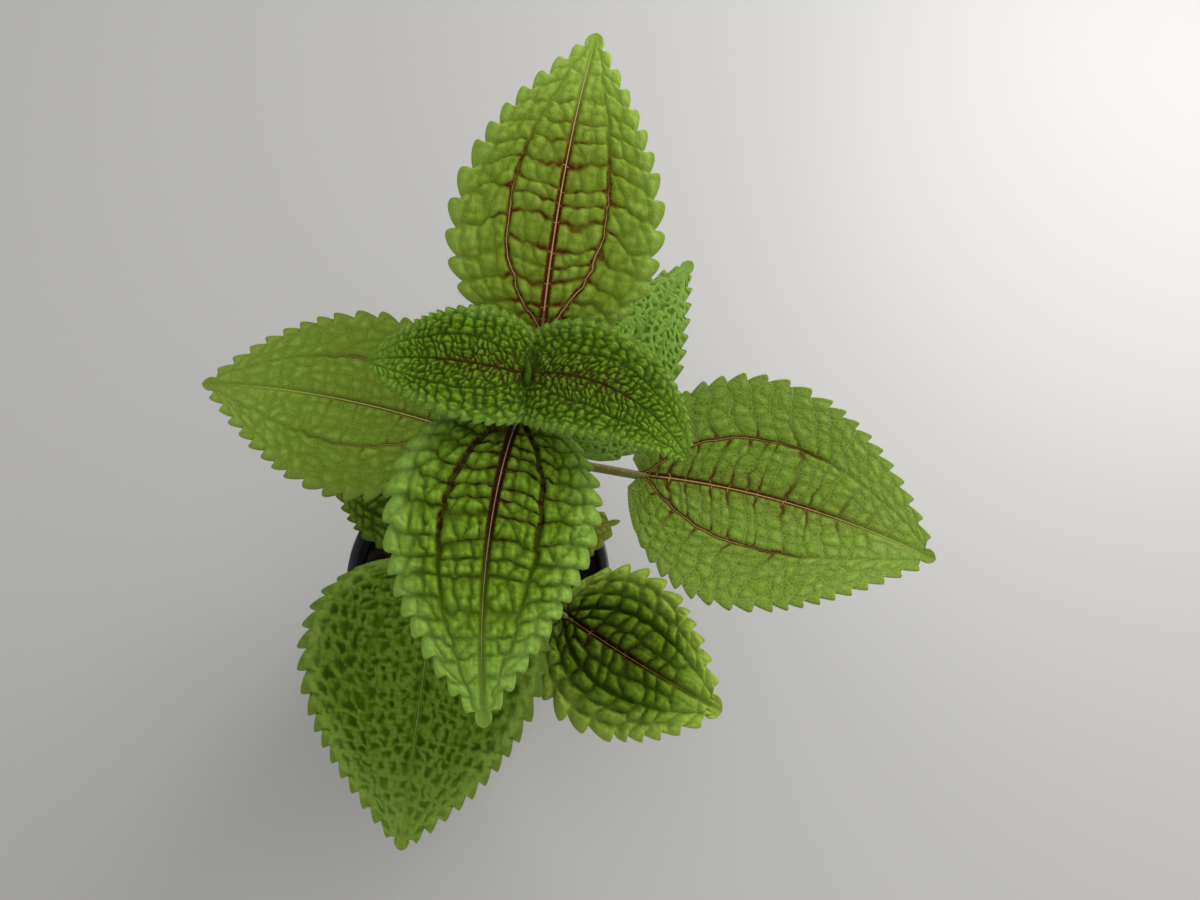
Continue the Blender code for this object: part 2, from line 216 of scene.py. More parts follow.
pot_inner = RIM_RADIUS - LIP_WIDTH
collar_inner = pot_inner - COLLAR_DRAFT
collar_outer = collar_inner + POT_WALL
collar_foot = POT_HEIGHT - COLLAR_HEIGHT
wall_top = pot_inner + POT_WALL - COLLAR_STEP
lip_foot = POT_HEIGHT - LIP_HEIGHT
lip_outer = RIM_RADIUS - LIP_ROUND
lip_crown = POT_HEIGHT - LIP_ROUND
base_flat = BASE_RADIUS - BASE_CHAMFER
pot_outline = [
    (0, 0),
    (DRAIN_CIRCLE, 0),
    (base_flat, 0),
    *rounded((base_flat, BASE_CHAMFER), BASE_CHAMFER, -90, 0),
    (wall_top, collar_foot - STEP_HEIGHT),
    (wall_top + STEP_SOFTENING, collar_foot - 0.7 * STEP_HEIGHT),
    (collar_outer - STEP_SOFTENING, collar_foot - 0.2 * STEP_HEIGHT),
    (collar_outer, collar_foot),
    (pot_inner + POT_WALL, lip_foot),
    (lip_outer, lip_foot),
    *rounded((lip_outer, lip_foot + LIP_ROUND), LIP_ROUND, -90, 0),
    *rounded((lip_outer, lip_crown), LIP_ROUND, 0, 90),
    *rounded((pot_inner + LIP_ROUND, lip_crown), LIP_ROUND, 90, 180),
    (collar_inner, collar_foot),
    (wall_top - POT_WALL, collar_foot - STEP_HEIGHT),
    (BASE_RADIUS - POT_WALL, POT_FLOOR),
    (0, POT_FLOOR),
]

pot_finish = Finish("black moulded plastic", (0.011, 0.011, 0.012))
pot_place = pot_finish.place()
pot_grain = pot_finish.noise(pot_place, 900, 3)
pot_scuffs = pot_finish.noise(pot_place, 60, 4)
pot_finish.set("Roughness", 0.3 + 0.22 * pot_scuffs)
pot_finish.bump(pot_grain, 0.05 * MM, 0.35)

pot = put("nursery_pot", turned(pot_outline, POT_SIDES), pot_finish.material, "pot")
drills = bmesh.new()
for number in range(DRAIN_HOLES):
    angle = 2 * math.pi * number / DRAIN_HOLES
    place = Vector((DRAIN_CIRCLE * math.cos(angle), DRAIN_CIRCLE * math.sin(angle), 0))
    bmesh.ops.create_cone(drills, cap_ends=True, segments=32, radius1=DRAIN_RADIUS,
                          radius2=DRAIN_RADIUS, depth=4 * POT_FLOOR,
                          matrix=Matrix.Translation(place))
drill_mesh = bpy.data.meshes.new("drills")
drills.to_mesh(drill_mesh)
drills.free()
drill = bpy.data.objects.new("drills", drill_mesh)
bpy.context.scene.collection.objects.link(drill)
drilling = pot.modifiers.new("drain holes", "BOOLEAN")
drilling.operation = "DIFFERENCE"
drilling.solver = "EXACT"
drilling.object = drill
bpy.context.view_layer.update()
drilled = pot.evaluated_get(bpy.context.evaluated_depsgraph_get())
pot.data = bpy.data.meshes.new_from_object(drilled)
pot.modifiers.clear()
pot.data.shade_smooth()
pot.data.set_sharp_from_angle(angle=SHARP_EDGE)
bpy.data.objects.remove(drill, do_unlink=True)

# The compost that fills the pot to 9 mm under the lip: dark peat pressed down round the
# stem, with crumbs of peat and bark on it and a few pale granules. It is one solid with a
# lumpy top, and the crumbs lie half sunk in it.
SOIL_DEPTH = 9 * MM
SOIL_LUMP = 0.9 * MM
SOIL_GAP = 0.45 * MM
SOIL_SIDES = 120
SOIL_RINGS = 56
BROAD_WAVES = (310, 270)
SMALL_WAVES = (520, 430)
SMALL_SHARE = 0.6
CRUMBLE_SCALE = 330
CRUMBLE_HEIGHT = 0.35 * MM
CRUMBS = 420
BARK_BITS = 46
GRANULES = 16
PAIR_OF_GRANULES = ((-37.9, 14.2), (-37.0, 12.4))
LUMP_LENGTHS = (0.8, 1.5)
LUMP_WIDTHS = (0.7, 1.1)
LUMP_TURN = 6.3
LUMP_TILT = 0.5
LUMP_DENTS = (0.82, 1.12)
LUMP_RISE = 0.25  # how far its middle stands out of the soil, to its size
LUMP_AREA = (0.01, 0.9)  # from and to what share of the soil they lie
SOIL_SEED = 7

soil_level = POT_HEIGHT - SOIL_DEPTH


def soil_top(x, y):
    """The height of the soil: the CAD's broad lumps, with finer ones and crumbs on them."""
    broad = math.sin(x * BROAD_WAVES[0] + 0.7) * math.cos(y * BROAD_WAVES[1] - 0.4)
    small = SMALL_SHARE * math.sin(x * SMALL_WAVES[0] + y * SMALL_WAVES[1] + 1.9)
    crumbly = noise.fractal(Vector((x, y, 0)) * CRUMBLE_SCALE, 0.8, 2.1, 4)
    level = soil_level + SOIL_LUMP * (broad + small) / (1 + SMALL_SHARE)
    return level + CRUMBLE_HEIGHT * crumbly


soil_edge = collar_inner - SOIL_GAP
soil_outline = [
    (0, POT_FLOOR + SOIL_GAP),
    (BASE_RADIUS - POT_WALL - SOIL_GAP, POT_FLOOR + SOIL_GAP),
    (pot_inner - COLLAR_STEP - SOIL_GAP, collar_foot - STEP_HEIGHT),
    (soil_edge, collar_foot + STEP_HEIGHT / 2),
    *((soil_edge * (1 - ring / SOIL_RINGS), soil_level) for ring in range(SOIL_RINGS + 1)),
]
soil = turned(soil_outline, SOIL_SIDES)
for corner in soil.verts:
    if corner.co.z > soil_level - TOUCHING:
        corner.co.z = soil_top(corner.co.x, corner.co.y)

soil_finish = Finish("damp peat", (0.012, 0.008, 0.006), roughness=0.95)
soil_place = soil_finish.place()
soil_patches = soil_finish.noise(soil_place, 260, 5).step(0.35, 0.7)
soil_flecks = soil_finish.noise(soil_place, 1100, 3).step(0.6, 0.72)
soil_colour = soil_finish.mix(soil_patches, (0.007, 0.005, 0.004), (0.022, 0.014, 0.009))
soil_colour = soil_finish.mix(soil_flecks * 0.6, soil_colour, (0.06, 0.04, 0.025))
soil_finish.set("Base Color", soil_colour)
soil_finish.bump(soil_finish.noise(soil_place, 1400, 5), 0.5 * MM, 0.8)
put("compost", soil, soil_finish.material, "soil")

draw = random.Random(SOIL_SEED)


def scatter(name, count, sizes, flatness, finish, fixed=()):
    """Little lumps half sunk in the soil, each turned and stretched by chance."""
    shape = bmesh.new()
    for number in range(count):
        if number < len(fixed):
            x, y = fixed[number][0] * MM, fixed[number][1] * MM
        else:
            reach = soil_edge * math.sqrt(draw.uniform(*LUMP_AREA))
            angle = draw.uniform(0, 2 * math.pi)
            x, y = reach * math.cos(angle), reach * math.sin(angle)
        size = draw.uniform(*sizes) * MM / 2
        lump = bmesh.ops.create_icosphere(shape, subdivisions=1, radius=1)["verts"]
        stretch = Vector((draw.uniform(*LUMP_LENGTHS), draw.uniform(*LUMP_WIDTHS), flatness))
        turn = Matrix.Rotation(draw.uniform(0, LUMP_TURN), 4, "Z")
        turn = turn @ Matrix.Rotation(draw.uniform(-LUMP_TILT, LUMP_TILT), 4, "X")
        bmesh.ops.scale(shape, vec=stretch * size, verts=lump)
        for corner in lump:
            corner.co *= draw.uniform(*LUMP_DENTS)
        bmesh.ops.transform(shape, matrix=turn, verts=lump)
        height = soil_top(x, y) + LUMP_RISE * size
        bmesh.ops.translate(shape, vec=(x, y, height), verts=lump)
    put(name, shape, finish.material)


crumb_finish = Finish("peat crumbs", (0.02, 0.013, 0.009), roughness=0.95)
crumb_finish.bump(crumb_finish.noise(crumb_finish.place(), 1800, 4), 0.3 * MM, 0.7)
scatter("peat_crumbs", CRUMBS, sizes=(0.8, 2.4), flatness=0.7, finish=crumb_finish)
bark_finish = Finish("bark bits", (0.075, 0.042, 0.022), roughness=0.85)
bark_finish.bump(bark_finish.noise(bark_finish.place(), 1500, 4), 0.3 * MM, 0.7)
scatter("bark_bits", BARK_BITS, sizes=(1.6, 3.8), flatness=0.3, finish=bark_finish)
granule_finish = Finish("pale granules", (0.42, 0.30, 0.17), roughness=0.7)
granule_finish.bump(granule_finish.noise(granule_finish.place(), 1600, 3), 0.2 * MM, 0.5)
scatter("pale_granules", GRANULES, sizes=(1.3, 2.1), flatness=0.85, finish=granule_finish,
        fixed=PAIR_OF_GRANULES)

# The stem, fleshy and green with a red tinge at the nodes, as thick as a pencil lead. It
# grows out of the soil and leans to the back and right, and a pair of leaves stands at each
# of its nodes.
ROUND_ENDS = (0.8, 0.7)
ACROSS_STALKS = (0.3, -0.9, 0.2)
STEM_WAY = [
    ((0.5, 1.5, 42), 2.3),
    ((1.8, 3.4, 72), 2.08),
    ((3, 5, 82), 2.6),
    ((3.3, 5.55, 84.4), 2.08),
    ((4.8, 8, 95.2), 1.92),
    ((6, 10, 104), 2.4),
    ((6.5, 11.1, 106.2), 1.92),
    ((9.6, 17.2, 119.6), 1.68),
    ((12, 22, 130), 2.1),
    ((12.4, 22.8, 132.3), 1.68),
    ((14.7, 28, 145.6), 1.36),
    ((16.5, 32, 156), 1.7),
    ((16.7, 31.7, 158.5), 1.36),
    ((17.1, 30.8, 164.1), 0.8),
    ((17.5, 30, 169.5), 1.0),
    ((17.5, 30, 170.9), 0.8),
]
STEM_NODES = {
    "e": np.array((3, 5, 82.0)),
    "d": np.array((6, 10, 104.0)),
    "c": np.array((12, 22, 130.0)),
    "b": np.array((16.5, 32, 156.0)),
    "a": np.array((17.5, 30, 169.5)),
}


def smooth_line(points, steps):
    """Points close together on one smooth line through the given ones, end to end."""
    knots = np.array([2 * points[0] - points[1], *points, 2 * points[-1] - points[-2]])
    line = []
    for before, here, ahead, after in zip(knots, knots[1:], knots[2:], knots[3:]):
        for t in np.arange(steps) / steps:
            line.append(0.5 * (2 * here + (ahead - before) * t
                               + (2 * before - 5 * here + 4 * ahead - after) * t ** 2
                               + (3 * here - before - 3 * ahead + after) * t ** 3))
    return np.array([*line, knots[-2]])


def stalk(shape, points, radii, sides, steps):
    """A closed round stalk through the points, in millimetres."""
    knots = [np.append(point, radius) for point, radius in zip(points, radii)]
    line = smooth_line(knots, steps)
    line, radius = line[:, :3], line[:, 3]
    radius[0] = radius[-1] = 0
    radius[1] *= ROUND_ENDS[0]
    radius[-2] *= ROUND_ENDS[1]
    ahead = np.gradient(line, axis=0)
    ahead /= np.linalg.norm(ahead, axis=1)[:, None]
    side = np.cross(ahead, ACROSS_STALKS)
    side /= np.linalg.norm(side, axis=1)[:, None]
    up = np.cross(side, ahead)
    rings = len(line) - 1
    corners = bmesh.ops.create_grid(shape, x_segments=rings, y_segments=sides, size=1)["verts"]
    for corner in corners:
        ring = round((corner.co.x + 1) / 2 * rings)
        angle = (corner.co.y + 1) * math.pi
        out = side[ring] * math.cos(angle) + up[ring] * math.sin(angle)
        corner.co = (line[ring] + out * radius[ring]) * MM
    bmesh.ops.remove_doubles(shape, verts=corners, dist=TOUCHING)


def green_stalk(name, colour, blush):
    """The finish of a stalk: green skin streaked along its length, tinged red in places."""
    finish = Finish(name, colour, roughness=0.42)
    place = finish.place()
    tinge = finish.noise(place, 150, 2).step(0.42, 0.68)
    flecks = finish.noise(place, 1500, 2).step(0.5, 0.75)
    skin = finish.mix(tinge * 0.7, colour, blush)
    light = tuple(min(1, c * 1.9 + 0.03) for c in colour)
    finish.set("Base Color", finish.mix(flecks * 0.5, skin, light))
    finish.bump(finish.noise(place, 1300, 3), 0.2 * MM, 0.5)
    finish.set("Subsurface Weight", 0.25)
    finish.set("Subsurface Radius", (1.0, 1.0, 0.3))
    finish.set("Subsurface Scale", 1.2 * MM)
    return finish.material


stem_green = green_stalk("stem skin", (0.13, 0.16, 0.035), (0.16, 0.07, 0.03))
stem = bmesh.new()
stem_places = [np.array(place) for place, radius in STEM_WAY]
stalk(stem, stem_places, [radius for place, radius in STEM_WAY], sides=24, steps=6)
bmesh.ops.recalc_face_normals(stem, faces=stem.faces)
put("stem_skin", stem, stem_green, "stem")

# The lowest pair of leaves, half hidden, with the small side leaf that grows at the same
# node. A blade is thin green tissue, puffed up between its veins like a quilt and toothed
# round its edge. It grows as one with its stalk, and three ribs run into it from there.

# The outline of a blade, its ribs and its thickness, in millimetres and in shares.
BLADE_THICKNESS = 0.55
MIDRIB_STEPS = 400
FORWARD_BOW = 0.02  # how far the lines across it bow towards the tip
BOW_POWER = 1.6
TOOTH_CROWDING = 0.45  # how much closer together the teeth are at the base
FIRST_TOOTH = 0.03  # where they begin
FULL_TOOTH = 0.16  # where they have their full size
TOOTH_BAND = 0.78  # where across the blade they begin to shape it
TOOTH_TO_BASE = 0.3  # the largest tooth near the base, to the half width there
TOOTH_TO_TIP = 0.5  # the same near the tip
TOOTH_TO_SPACING = 1.25  # the largest tooth, to half the way to the next
SMALLEST_TOOTH = 0.8
TOOTH_VARIETY = 0.25
TOOTH_MIDDLE = 0.56  # where its point stands between its notches
NOTCH_IN = 0.62  # how far the notches cut in, to the size of the tooth
NOTCH_AHEAD = 0.1  # how far they are set forward
POINT_AHEAD = 0.3  # how far the points are
TIP_TO_TOOTH = 0.85
TIP_ROUND = 0.3  # where in the last tooth the tip begins to close
SIDE_RIB_PLACE = 0.5
SIDE_RIB_SPREAD = 0.15  # how far along the blade the side ribs take to get there
SIDE_RIB_FADES = (0.5, 0.75)
RIB_BELOW = 0.5  # how far the ribs stand out below
RIB_BELOW_WIDTH = 0.8

# The puffs on it.
FIRST_ROW = 0.65  # how tall the first row is, to a cell
ROW_GROWTH = 0.7  # how much taller they get on the way to the tip
ROW_LIMITS = (0.03, 0.97)  # the first and the last place where cells are counted
ROW_SWAY = 0.2  # how far the rows sway from even, in rows
ROW_SWAY_PACE = 1.9
OUTER_BEND = 1.2  # how much the outer rows bend forward
WANDER_LENGTH, WANDER_WIDTH = 9, 7  # the size of the swells in the rows
JAG_SIZE = 1.7  # that of the jags in the puffs' outlines
STRAY_SIZE = 2.4  # that of the bends in the side ribs
PUFF_ROUND = 0.45  # how far in a puff is rounded, to its size
PUFF_ROUND_LEAST = 0.3  # and at least
PUFF_TILT = 0.12
PUFF_LEAST = 0.7  # how high the lowest puff is, to the highest
PUFFS_LOWER = (0.4, 0.9)  # from where to where they get lower
MIDRIB_GROOVE = 1.0
SIDE_RIB_GROOVE = 0.8
GROOVE_DEPTH = 0.3
PEBBLE_SPREAD = 0.6
PEBBLE_ROUND = 1.7
NO_CELL = 1000.0  # how far off a cell counts that isn't there
NO_BORDER = 99  # and a border
FARTHEST_BORDER = 4  # how far off a border counts at the most

# Uneven numbers that chance is drawn from.
CHANCE_SHARES = (12.9898, 78.233, 37.719, 93.9)
CHANCE_SPREAD = 43758.5453

# Its skin, its hairs and its stalk.
BLADE_ROUGHNESS = 0.55
HAIR_RADIUS = 0.035 * MM
HAIR_LENGTH = 0.7 * MM
HAIR_LENGTHS = (0.5, 1.2)  # the shortest and the longest, to that
HAIR_LEAN = 0.5
HAIR_ROOM = 1.3 * HAIR_LENGTH  # a hair needs this much room inside the box of the solids
HAIR_SUNK = 0.05
RIM_HAIRS = 170
STALK_HAIRS = 0.25  # the share of a stalk's faces that have one
PETIOLE_BEND = 0.45  # where along it the stalk bends
PETIOLE_SHARES = (1.0, 0.95, 0.85, 0.65, 0.3)  # how thick it is on its way
# Where the stalk runs on under the blade, and how deep there, in its own radii.
UNDER_BLADE = ((0, 0.5), (0.035, 0.8), (0.08, 0.5))


def rising(azimuth, rise):
    """Unit vectors, from degrees round from +X and degrees up."""
    azimuth, rise = np.radians(azimuth), np.radians(rise)
    return np.stack([np.cos(rise) * np.cos(azimuth), np.cos(rise) * np.sin(azimuth),
                     np.sin(rise)], axis=-1)


def chance(*numbers):
    """A number from 0 to 1 for each set of numbers, always the same for the same set."""
    total = sum(number * share for number, share in zip(numbers, CHANCE_SHARES))
    value = np.sin(total + 0.5) * CHANCE_SPREAD
    return value - np.floor(value)


def ramp(value, low, high):
    """0 up to low and 1 from high on, with a smooth rise between."""
    share = np.clip((value - low) / (high - low), 0, 1)
    return share * share * (3 - 2 * share)


def ripple(x, y, seed):
    """Smooth swells from -1 to 1, about one to each unit square."""
    column, row = np.floor(x), np.floor(y)
    right, up = ramp(x - column, 0, 1), ramp(y - row, 0, 1)
    low = chance(column, row, seed) * (1 - right) + chance(column + 1, row, seed) * right
    high = chance(column, row + 1, seed) * (1 - right) + chance(column + 1, row + 1, seed) * right
    return 2 * (low * (1 - up) + high * up) - 1


def pebbles(x, y, seed):
    """Round bumps scattered one to each unit square: 1 at their tops and 0 between them."""
    column, row = np.floor(x), np.floor(y)
    edge = (1 - PEBBLE_SPREAD) / 2
    nearest = np.full(x.shape, 9.0)
    for right in (-1, 0, 1):
        for up in (-1, 0, 1):
            aside = chance(column + right, row + up, seed)
            ahead = chance(column + right, row + up, seed + 0.7)
            top_x = column + right + edge + PEBBLE_SPREAD * aside
            top_y = row + up + edge + PEBBLE_SPREAD * ahead
            nearest = np.minimum(nearest, (x - top_x) ** 2 + (y - top_y) ** 2)
    return 1 - np.minimum(nearest * PEBBLE_ROUND, 1)


def cobbles(rows, share, tall, width, count_at, loose, straight, seed):
    """Uneven cells laid in rows like cobbles, in a band from 0 to 1 across.

    Gives each point's distance from the next row and from the next cell in its row, with a
    sign that changes from cell to cell, the number of the line between the rows, the place in
    its own cell, and the cell's chance numbers. tall and width are the sizes of a row and of
    the band there, count_at the number of cells in a row, and loose how unevenly they lie.
    The lower straight is, the less the lines between the rows zigzag round the cells.
    """
    found = []
    for up in (-1, 0, 1):
        row = np.floor(rows) + up
        count = count_at(row)
        for right in (-1, 0, 1):
            cell = np.floor(share * count) + right
            on = row + 0.5 + loose[0] * (chance(row, cell, seed) - 0.5)
            out = (cell + 0.5 + loose[1] * (chance(row, cell, seed + 0.6) - 0.5)) / count
            missing = np.where((cell < 0) | (cell >= count), NO_CELL, 0.0)
            found.append((row, cell, (on - rows) * tall, (out - share) * width + missing))
    row, cell, ahead, aside = np.swapaxes(np.array(found), 0, 1)
    far = ahead ** 2 + straight * aside ** 2
    home = np.argmin(far, axis=0)
    points = np.arange(len(home))
    row_in, cell_in, ahead_in, aside_in, far_in = (
        part[home, points] for part in (row, cell, ahead, aside, far))
    apart = np.hypot(ahead - ahead_in, straight * (aside - aside_in)) + 1e-9
    border = (far - far_in) / (2 * apart)
    beyond = np.where(row != row_in, border, NO_BORDER)
    beside = np.where((row == row_in) & (cell != cell_in), border, NO_BORDER)
    next_row = np.argmin(beyond, axis=0)
    line = np.maximum(row_in, row[next_row, points])
    from_row = np.minimum(beyond[next_row, points], FARTHEST_BORDER) * (1 - 2 * (row_in % 2))
    from_cell = np.minimum(beside.min(axis=0), FARTHEST_BORDER) * (1 - 2 * (cell_in % 2))
    own = [chance(row_in, cell_in, seed + shift) for shift in (1.1, 2.3, 3.7)]
    return np.array([from_row, from_cell, line, ahead_in, aside_in, *own])


hair_finish = Finish("pale hairs", (0.24, 0.36, 0.07), roughness=0.6)
hair_finish.set("Specular IOR Level", 0.1)


def hairs(name, roots, seed):
    """Short pale hairs, each a thin three-sided cone. A root is its place and the way out."""
    draw = random.Random(seed)
    shape = bmesh.new()
    for place, out in roots:
        room = min(min(high - here, here - low) for here, low, high in zip(place, *cad_box))
        if room < HAIR_ROOM:
            continue
        tall = HAIR_LENGTH * draw.uniform(*HAIR_LENGTHS)
        lean = Vector([draw.uniform(-HAIR_LEAN, HAIR_LEAN) for axis in range(3)])
        way = (out + lean).normalized()
        turn = way.to_track_quat("Z", "Y").to_matrix().to_4x4()
        middle = Matrix.Translation(place + way * ((0.5 - HAIR_SUNK) * tall))
        bmesh.ops.create_cone(shape, cap_ends=True, segments=3, radius1=HAIR_RADIUS, radius2=0,
                              depth=tall, matrix=middle @ turn)
    put(name, shape, hair_finish.material)


olive_stalk = green_stalk("olive leaf stalk", (0.16, 0.155, 0.025), (0.17, 0.085, 0.02))


@dataclass
class Leaf:
    """One leaf, in millimetres and degrees, shaped by the same rules as its CAD solid.

    Places along the blade are shares of its length, and places across it go from -1 to 1.
    """

    name: str
    node: str  # the stem's node that it grows at
    petiole: tuple  # the azimuth, the length and the rise of its stalk
    stalk: float  # the radius of its stalk at the stem
    azimuth: float  # where the blade points at its base
    rise: float  # how steeply it rises there
    droop: float  # how far it comes down on its way to the tip
    length: float
    half_width: float
    fullness: float  # the smaller, the rounder the base
    taper: float  # the larger, the longer the point
    fold: float  # how steeply the halves rise from the midrib
    curl: float  # how far they turn up at their edges
    teeth: int  # on each edge
    tooth: float  # how far a tooth stands out
    quilt: float  # how high the puffs stand
    cell: tuple  # how long and how wide they are
    loose: tuple  # how unevenly they lie along the blade and across
    slant: float  # how far their rows run forward inside the side ribs
    outer_slant: float  # how far they do outside them
    pebble: float  # the size of the small bumps on them
    point: float  # how round the teeth are
    lean: float  # how far their tips stand forward
    seed: int
    arch: float = 12  # how much steeper the stalk leaves the stem
    sweep: float = 0  # how far the blade turns on its way to the tip
    roll: float = 0  # how far it is turned about its midrib
    shoulder: float = 0.04  # how far the base runs back beside the midrib
    reach: float = 0.0  # how far it runs back past the end of the stalk
    per_tooth: int = 1  # rows of outer puffs to a tooth
    tip_teeth: float = 0.0  # how much closer together the teeth are at the tip
    tip: float = 0  # half the width of the rounded tip, or 0 where the teeth give it
    parted: float = 0.8  # how deeply the puffs in a row are parted
    dome: float = 1.8  # the larger, the steeper their sides and the broader their tops
    flatter: float = 0.35  # how much lower they are towards the tip
    shingled: float = 0.3  # how much higher each is on its side towards the tip
    pitted: bool = False  # whether they are pits
    ridge: float = 0.0  # half the width that is left flat between them
    straight: float = 0.3  # the smaller, the less the lines between rows zigzag
    wander: float = 0.25  # how far the rows stray, as a share of a row
    jagged: float = 0.3  # how far the outlines of the puffs do
    lumpy: float = 0.5  # the strength of the small bumps
    ribbed: float = 1.0  # how deep the ribs lie in their grooves
    fine: int = 8  # rows of the mesh to a tooth
    columns: int = 56  # columns of the mesh to a half

    def __post_init__(self):
        self.tip = self.tip or TIP_TO_TOOTH * self.tooth
        self.foot = STEM_NODES[self.node]
        azimuth, length, rise = self.petiole
        base = self.foot + rising(azimuth, rise) * length
        self.steps = np.linspace(-0.1, 1.05, MIDRIB_STEPS)
        heading = self.heading(self.steps)
        run = np.concatenate([[0], np.diff(self.steps)])[:, None]
        mean = np.concatenate([heading[:1], (heading[1:] + heading[:-1]) / 2])
        way = np.cumsum(mean * run * self.length, axis=0)
        start = [np.interp(0, self.steps, way[:, axis]) for axis in range(3)]
        self.way = way - start + base

    def heading(self, u):
        """Unit vectors along the midrib at the shares u of its length."""
        return rising(self.azimuth + self.sweep * u, self.rise - self.droop * u)

    def midrib(self, u):
        """Points on the midrib."""
        return np.stack([np.interp(u, self.steps, self.way[:, axis]) for axis in range(3)], -1)

    def breadth(self, u):
        """How wide the blade is there, as a share of its greatest width."""
        widest = self.fullness / (self.fullness + self.taper)
        u = np.clip(u, 0, 1)
        return (u / widest) ** self.fullness * ((1 - u) / (1 - widest)) ** self.taper

    def station(self, row):
        """Where a row lies along the blade. Two rows go to a tooth, and they crowd at the base."""
        even = row / (2 * self.teeth)
        crowding = np.where(even < 0.5, TOOTH_CROWDING, self.tip_teeth)
        return even - crowding * np.sin(2 * np.pi * even) / (2 * np.pi)

    def flat(self, u, v):
        """Points of the blade laid flat, at the shares u along it and v across it."""
        set_back = self.shoulder * (1 - u) ** 5 - FORWARD_BOW * np.sin(np.pi * u)
        along = (u - set_back * np.abs(v) ** BOW_POWER) * self.length
        along -= self.reach * (1 - u) ** 6
        return np.stack([along, v * self.half_width * self.breadth(u)], -1)

    def toothed(self, row, v):
        """Points of the flat blade, with the teeth and the tip drawn out of its edge."""
        side = np.where(v > 0, 1.0, -1.0)
        u = self.station(row)
        here = self.flat(u, v)
        edge = self.flat(u, side)
        ahead = self.flat(np.minimum(u + 0.01, 1), side) - self.flat(np.maximum(u - 0.01, 0), side)
        ahead /= np.maximum(np.linalg.norm(ahead, axis=-1), 1e-9)[:, None]
        outward = np.stack([-ahead[:, 1], ahead[:, 0]], -1) * side[:, None]
        from_base = np.clip((u - FIRST_TOOTH) / (FULL_TOOTH - FIRST_TOOTH), 0, 1)
        spacing = (self.station(row + 0.5) - self.station(row - 0.5)) * self.length
        number = np.floor(row / 2)
        to_edge = np.where(u > 0.5, TOOTH_TO_TIP, TOOTH_TO_BASE)
        size = np.minimum(self.tooth * from_base, np.abs(edge[:, 1]) * to_edge)
        size = np.minimum(size, spacing * TOOTH_TO_SPACING)
        size *= SMALLEST_TOOTH + TOOTH_VARIETY * chance(number, side, self.seed)
        share = row / 2 - number
        top = TOOTH_MIDDLE + 0.1 * self.lean
        share = np.where(share < top, 0.5 * share / top, 0.5 + 0.5 * (share - top) / (1 - top))
        rise = 1 - np.abs(2 * share - 1) ** self.point
        last = number >= self.teeth - 1
        in_band = np.clip((np.abs(v) - TOOTH_BAND) / (1 - TOOTH_BAND), 0, 1)
        weight = np.where(last, 0, in_band ** 1.5)
        out = (rise - NOTCH_IN) * size * weight
        on = (NOTCH_AHEAD + POINT_AHEAD * (1 + self.lean) * rise) * size * weight
        shaped = here + outward * out[:, None] + ahead * on[:, None]
        part = np.clip(row / 2 - (self.teeth - 1), 0, 1)
        neck = 0.9 + 0.1 * np.sin(np.pi / 2 * part / TIP_ROUND)
        beyond = np.clip((part - TIP_ROUND) / (1 - TIP_ROUND), 0, 1)
        lobe = self.tip * np.where(part < TIP_ROUND, neck, (1 - beyond ** 2) ** 0.7)
        shaped[:, 1] = np.where(last, v * lobe, shaped[:, 1])
        return shaped

    def side_rib(self, u):
        """Where the side ribs lie across a half, as a share of the half width."""
        u = np.clip(u, 0, 1)
        return SIDE_RIB_PLACE * (1 - np.exp(-u / SIDE_RIB_SPREAD)) ** 0.8 + 1e-4

    def veins(self, row, v, laid, from_rib, from_side):
        """Each point's distances from the cross veins, their chance, and its puff's height."""
        side = np.where(v > 0, 1.0, -1.0)
        u = np.clip(self.station(row), 0, 1)
        rib = self.side_rib(u)
        inner = np.abs(v) < rib
        span = self.half_width * self.breadth(u)
        tall, broad = self.cell
        x, y = laid[:, 0], laid[:, 1]
        wander = self.wander * ripple(x / WANDER_LENGTH, y / WANDER_WIDTH, self.seed)
        jag = self.jagged * ripple(x / JAG_SIZE, y / JAG_SIZE, self.seed + 5)
        jag_aside = self.jagged * ripple(x / JAG_SIZE, y / JAG_SIZE, self.seed + 8)
        start = self.length / (ROW_GROWTH * tall)
        forward = np.maximum(x - self.slant * from_rib, -0.4 * self.length)
        inside = start * np.log(1 + ROW_GROWTH / FIRST_ROW * forward / self.length)
        inside += ROW_SWAY * np.sin(ROW_SWAY_PACE * inside + 3 * side + self.seed)
        inside += wander + jag / tall

        def count(at, share):
            at = np.clip(at, *ROW_LIMITS)
            wide = share(at) * self.half_width * self.breadth(at)
            return np.maximum(1, np.rint(wide / broad))

        def count_inside(number):
            at = (np.exp((number + 0.5) / start) - 1) * FIRST_ROW / ROW_GROWTH
            return count(at, self.side_rib)

        def count_outside(number):
            tooth_row = np.clip(2 * (number + 0.5) / self.per_tooth, 0, 2 * self.teeth)
            return count(self.station(tooth_row), lambda at: 1 - self.side_rib(at))

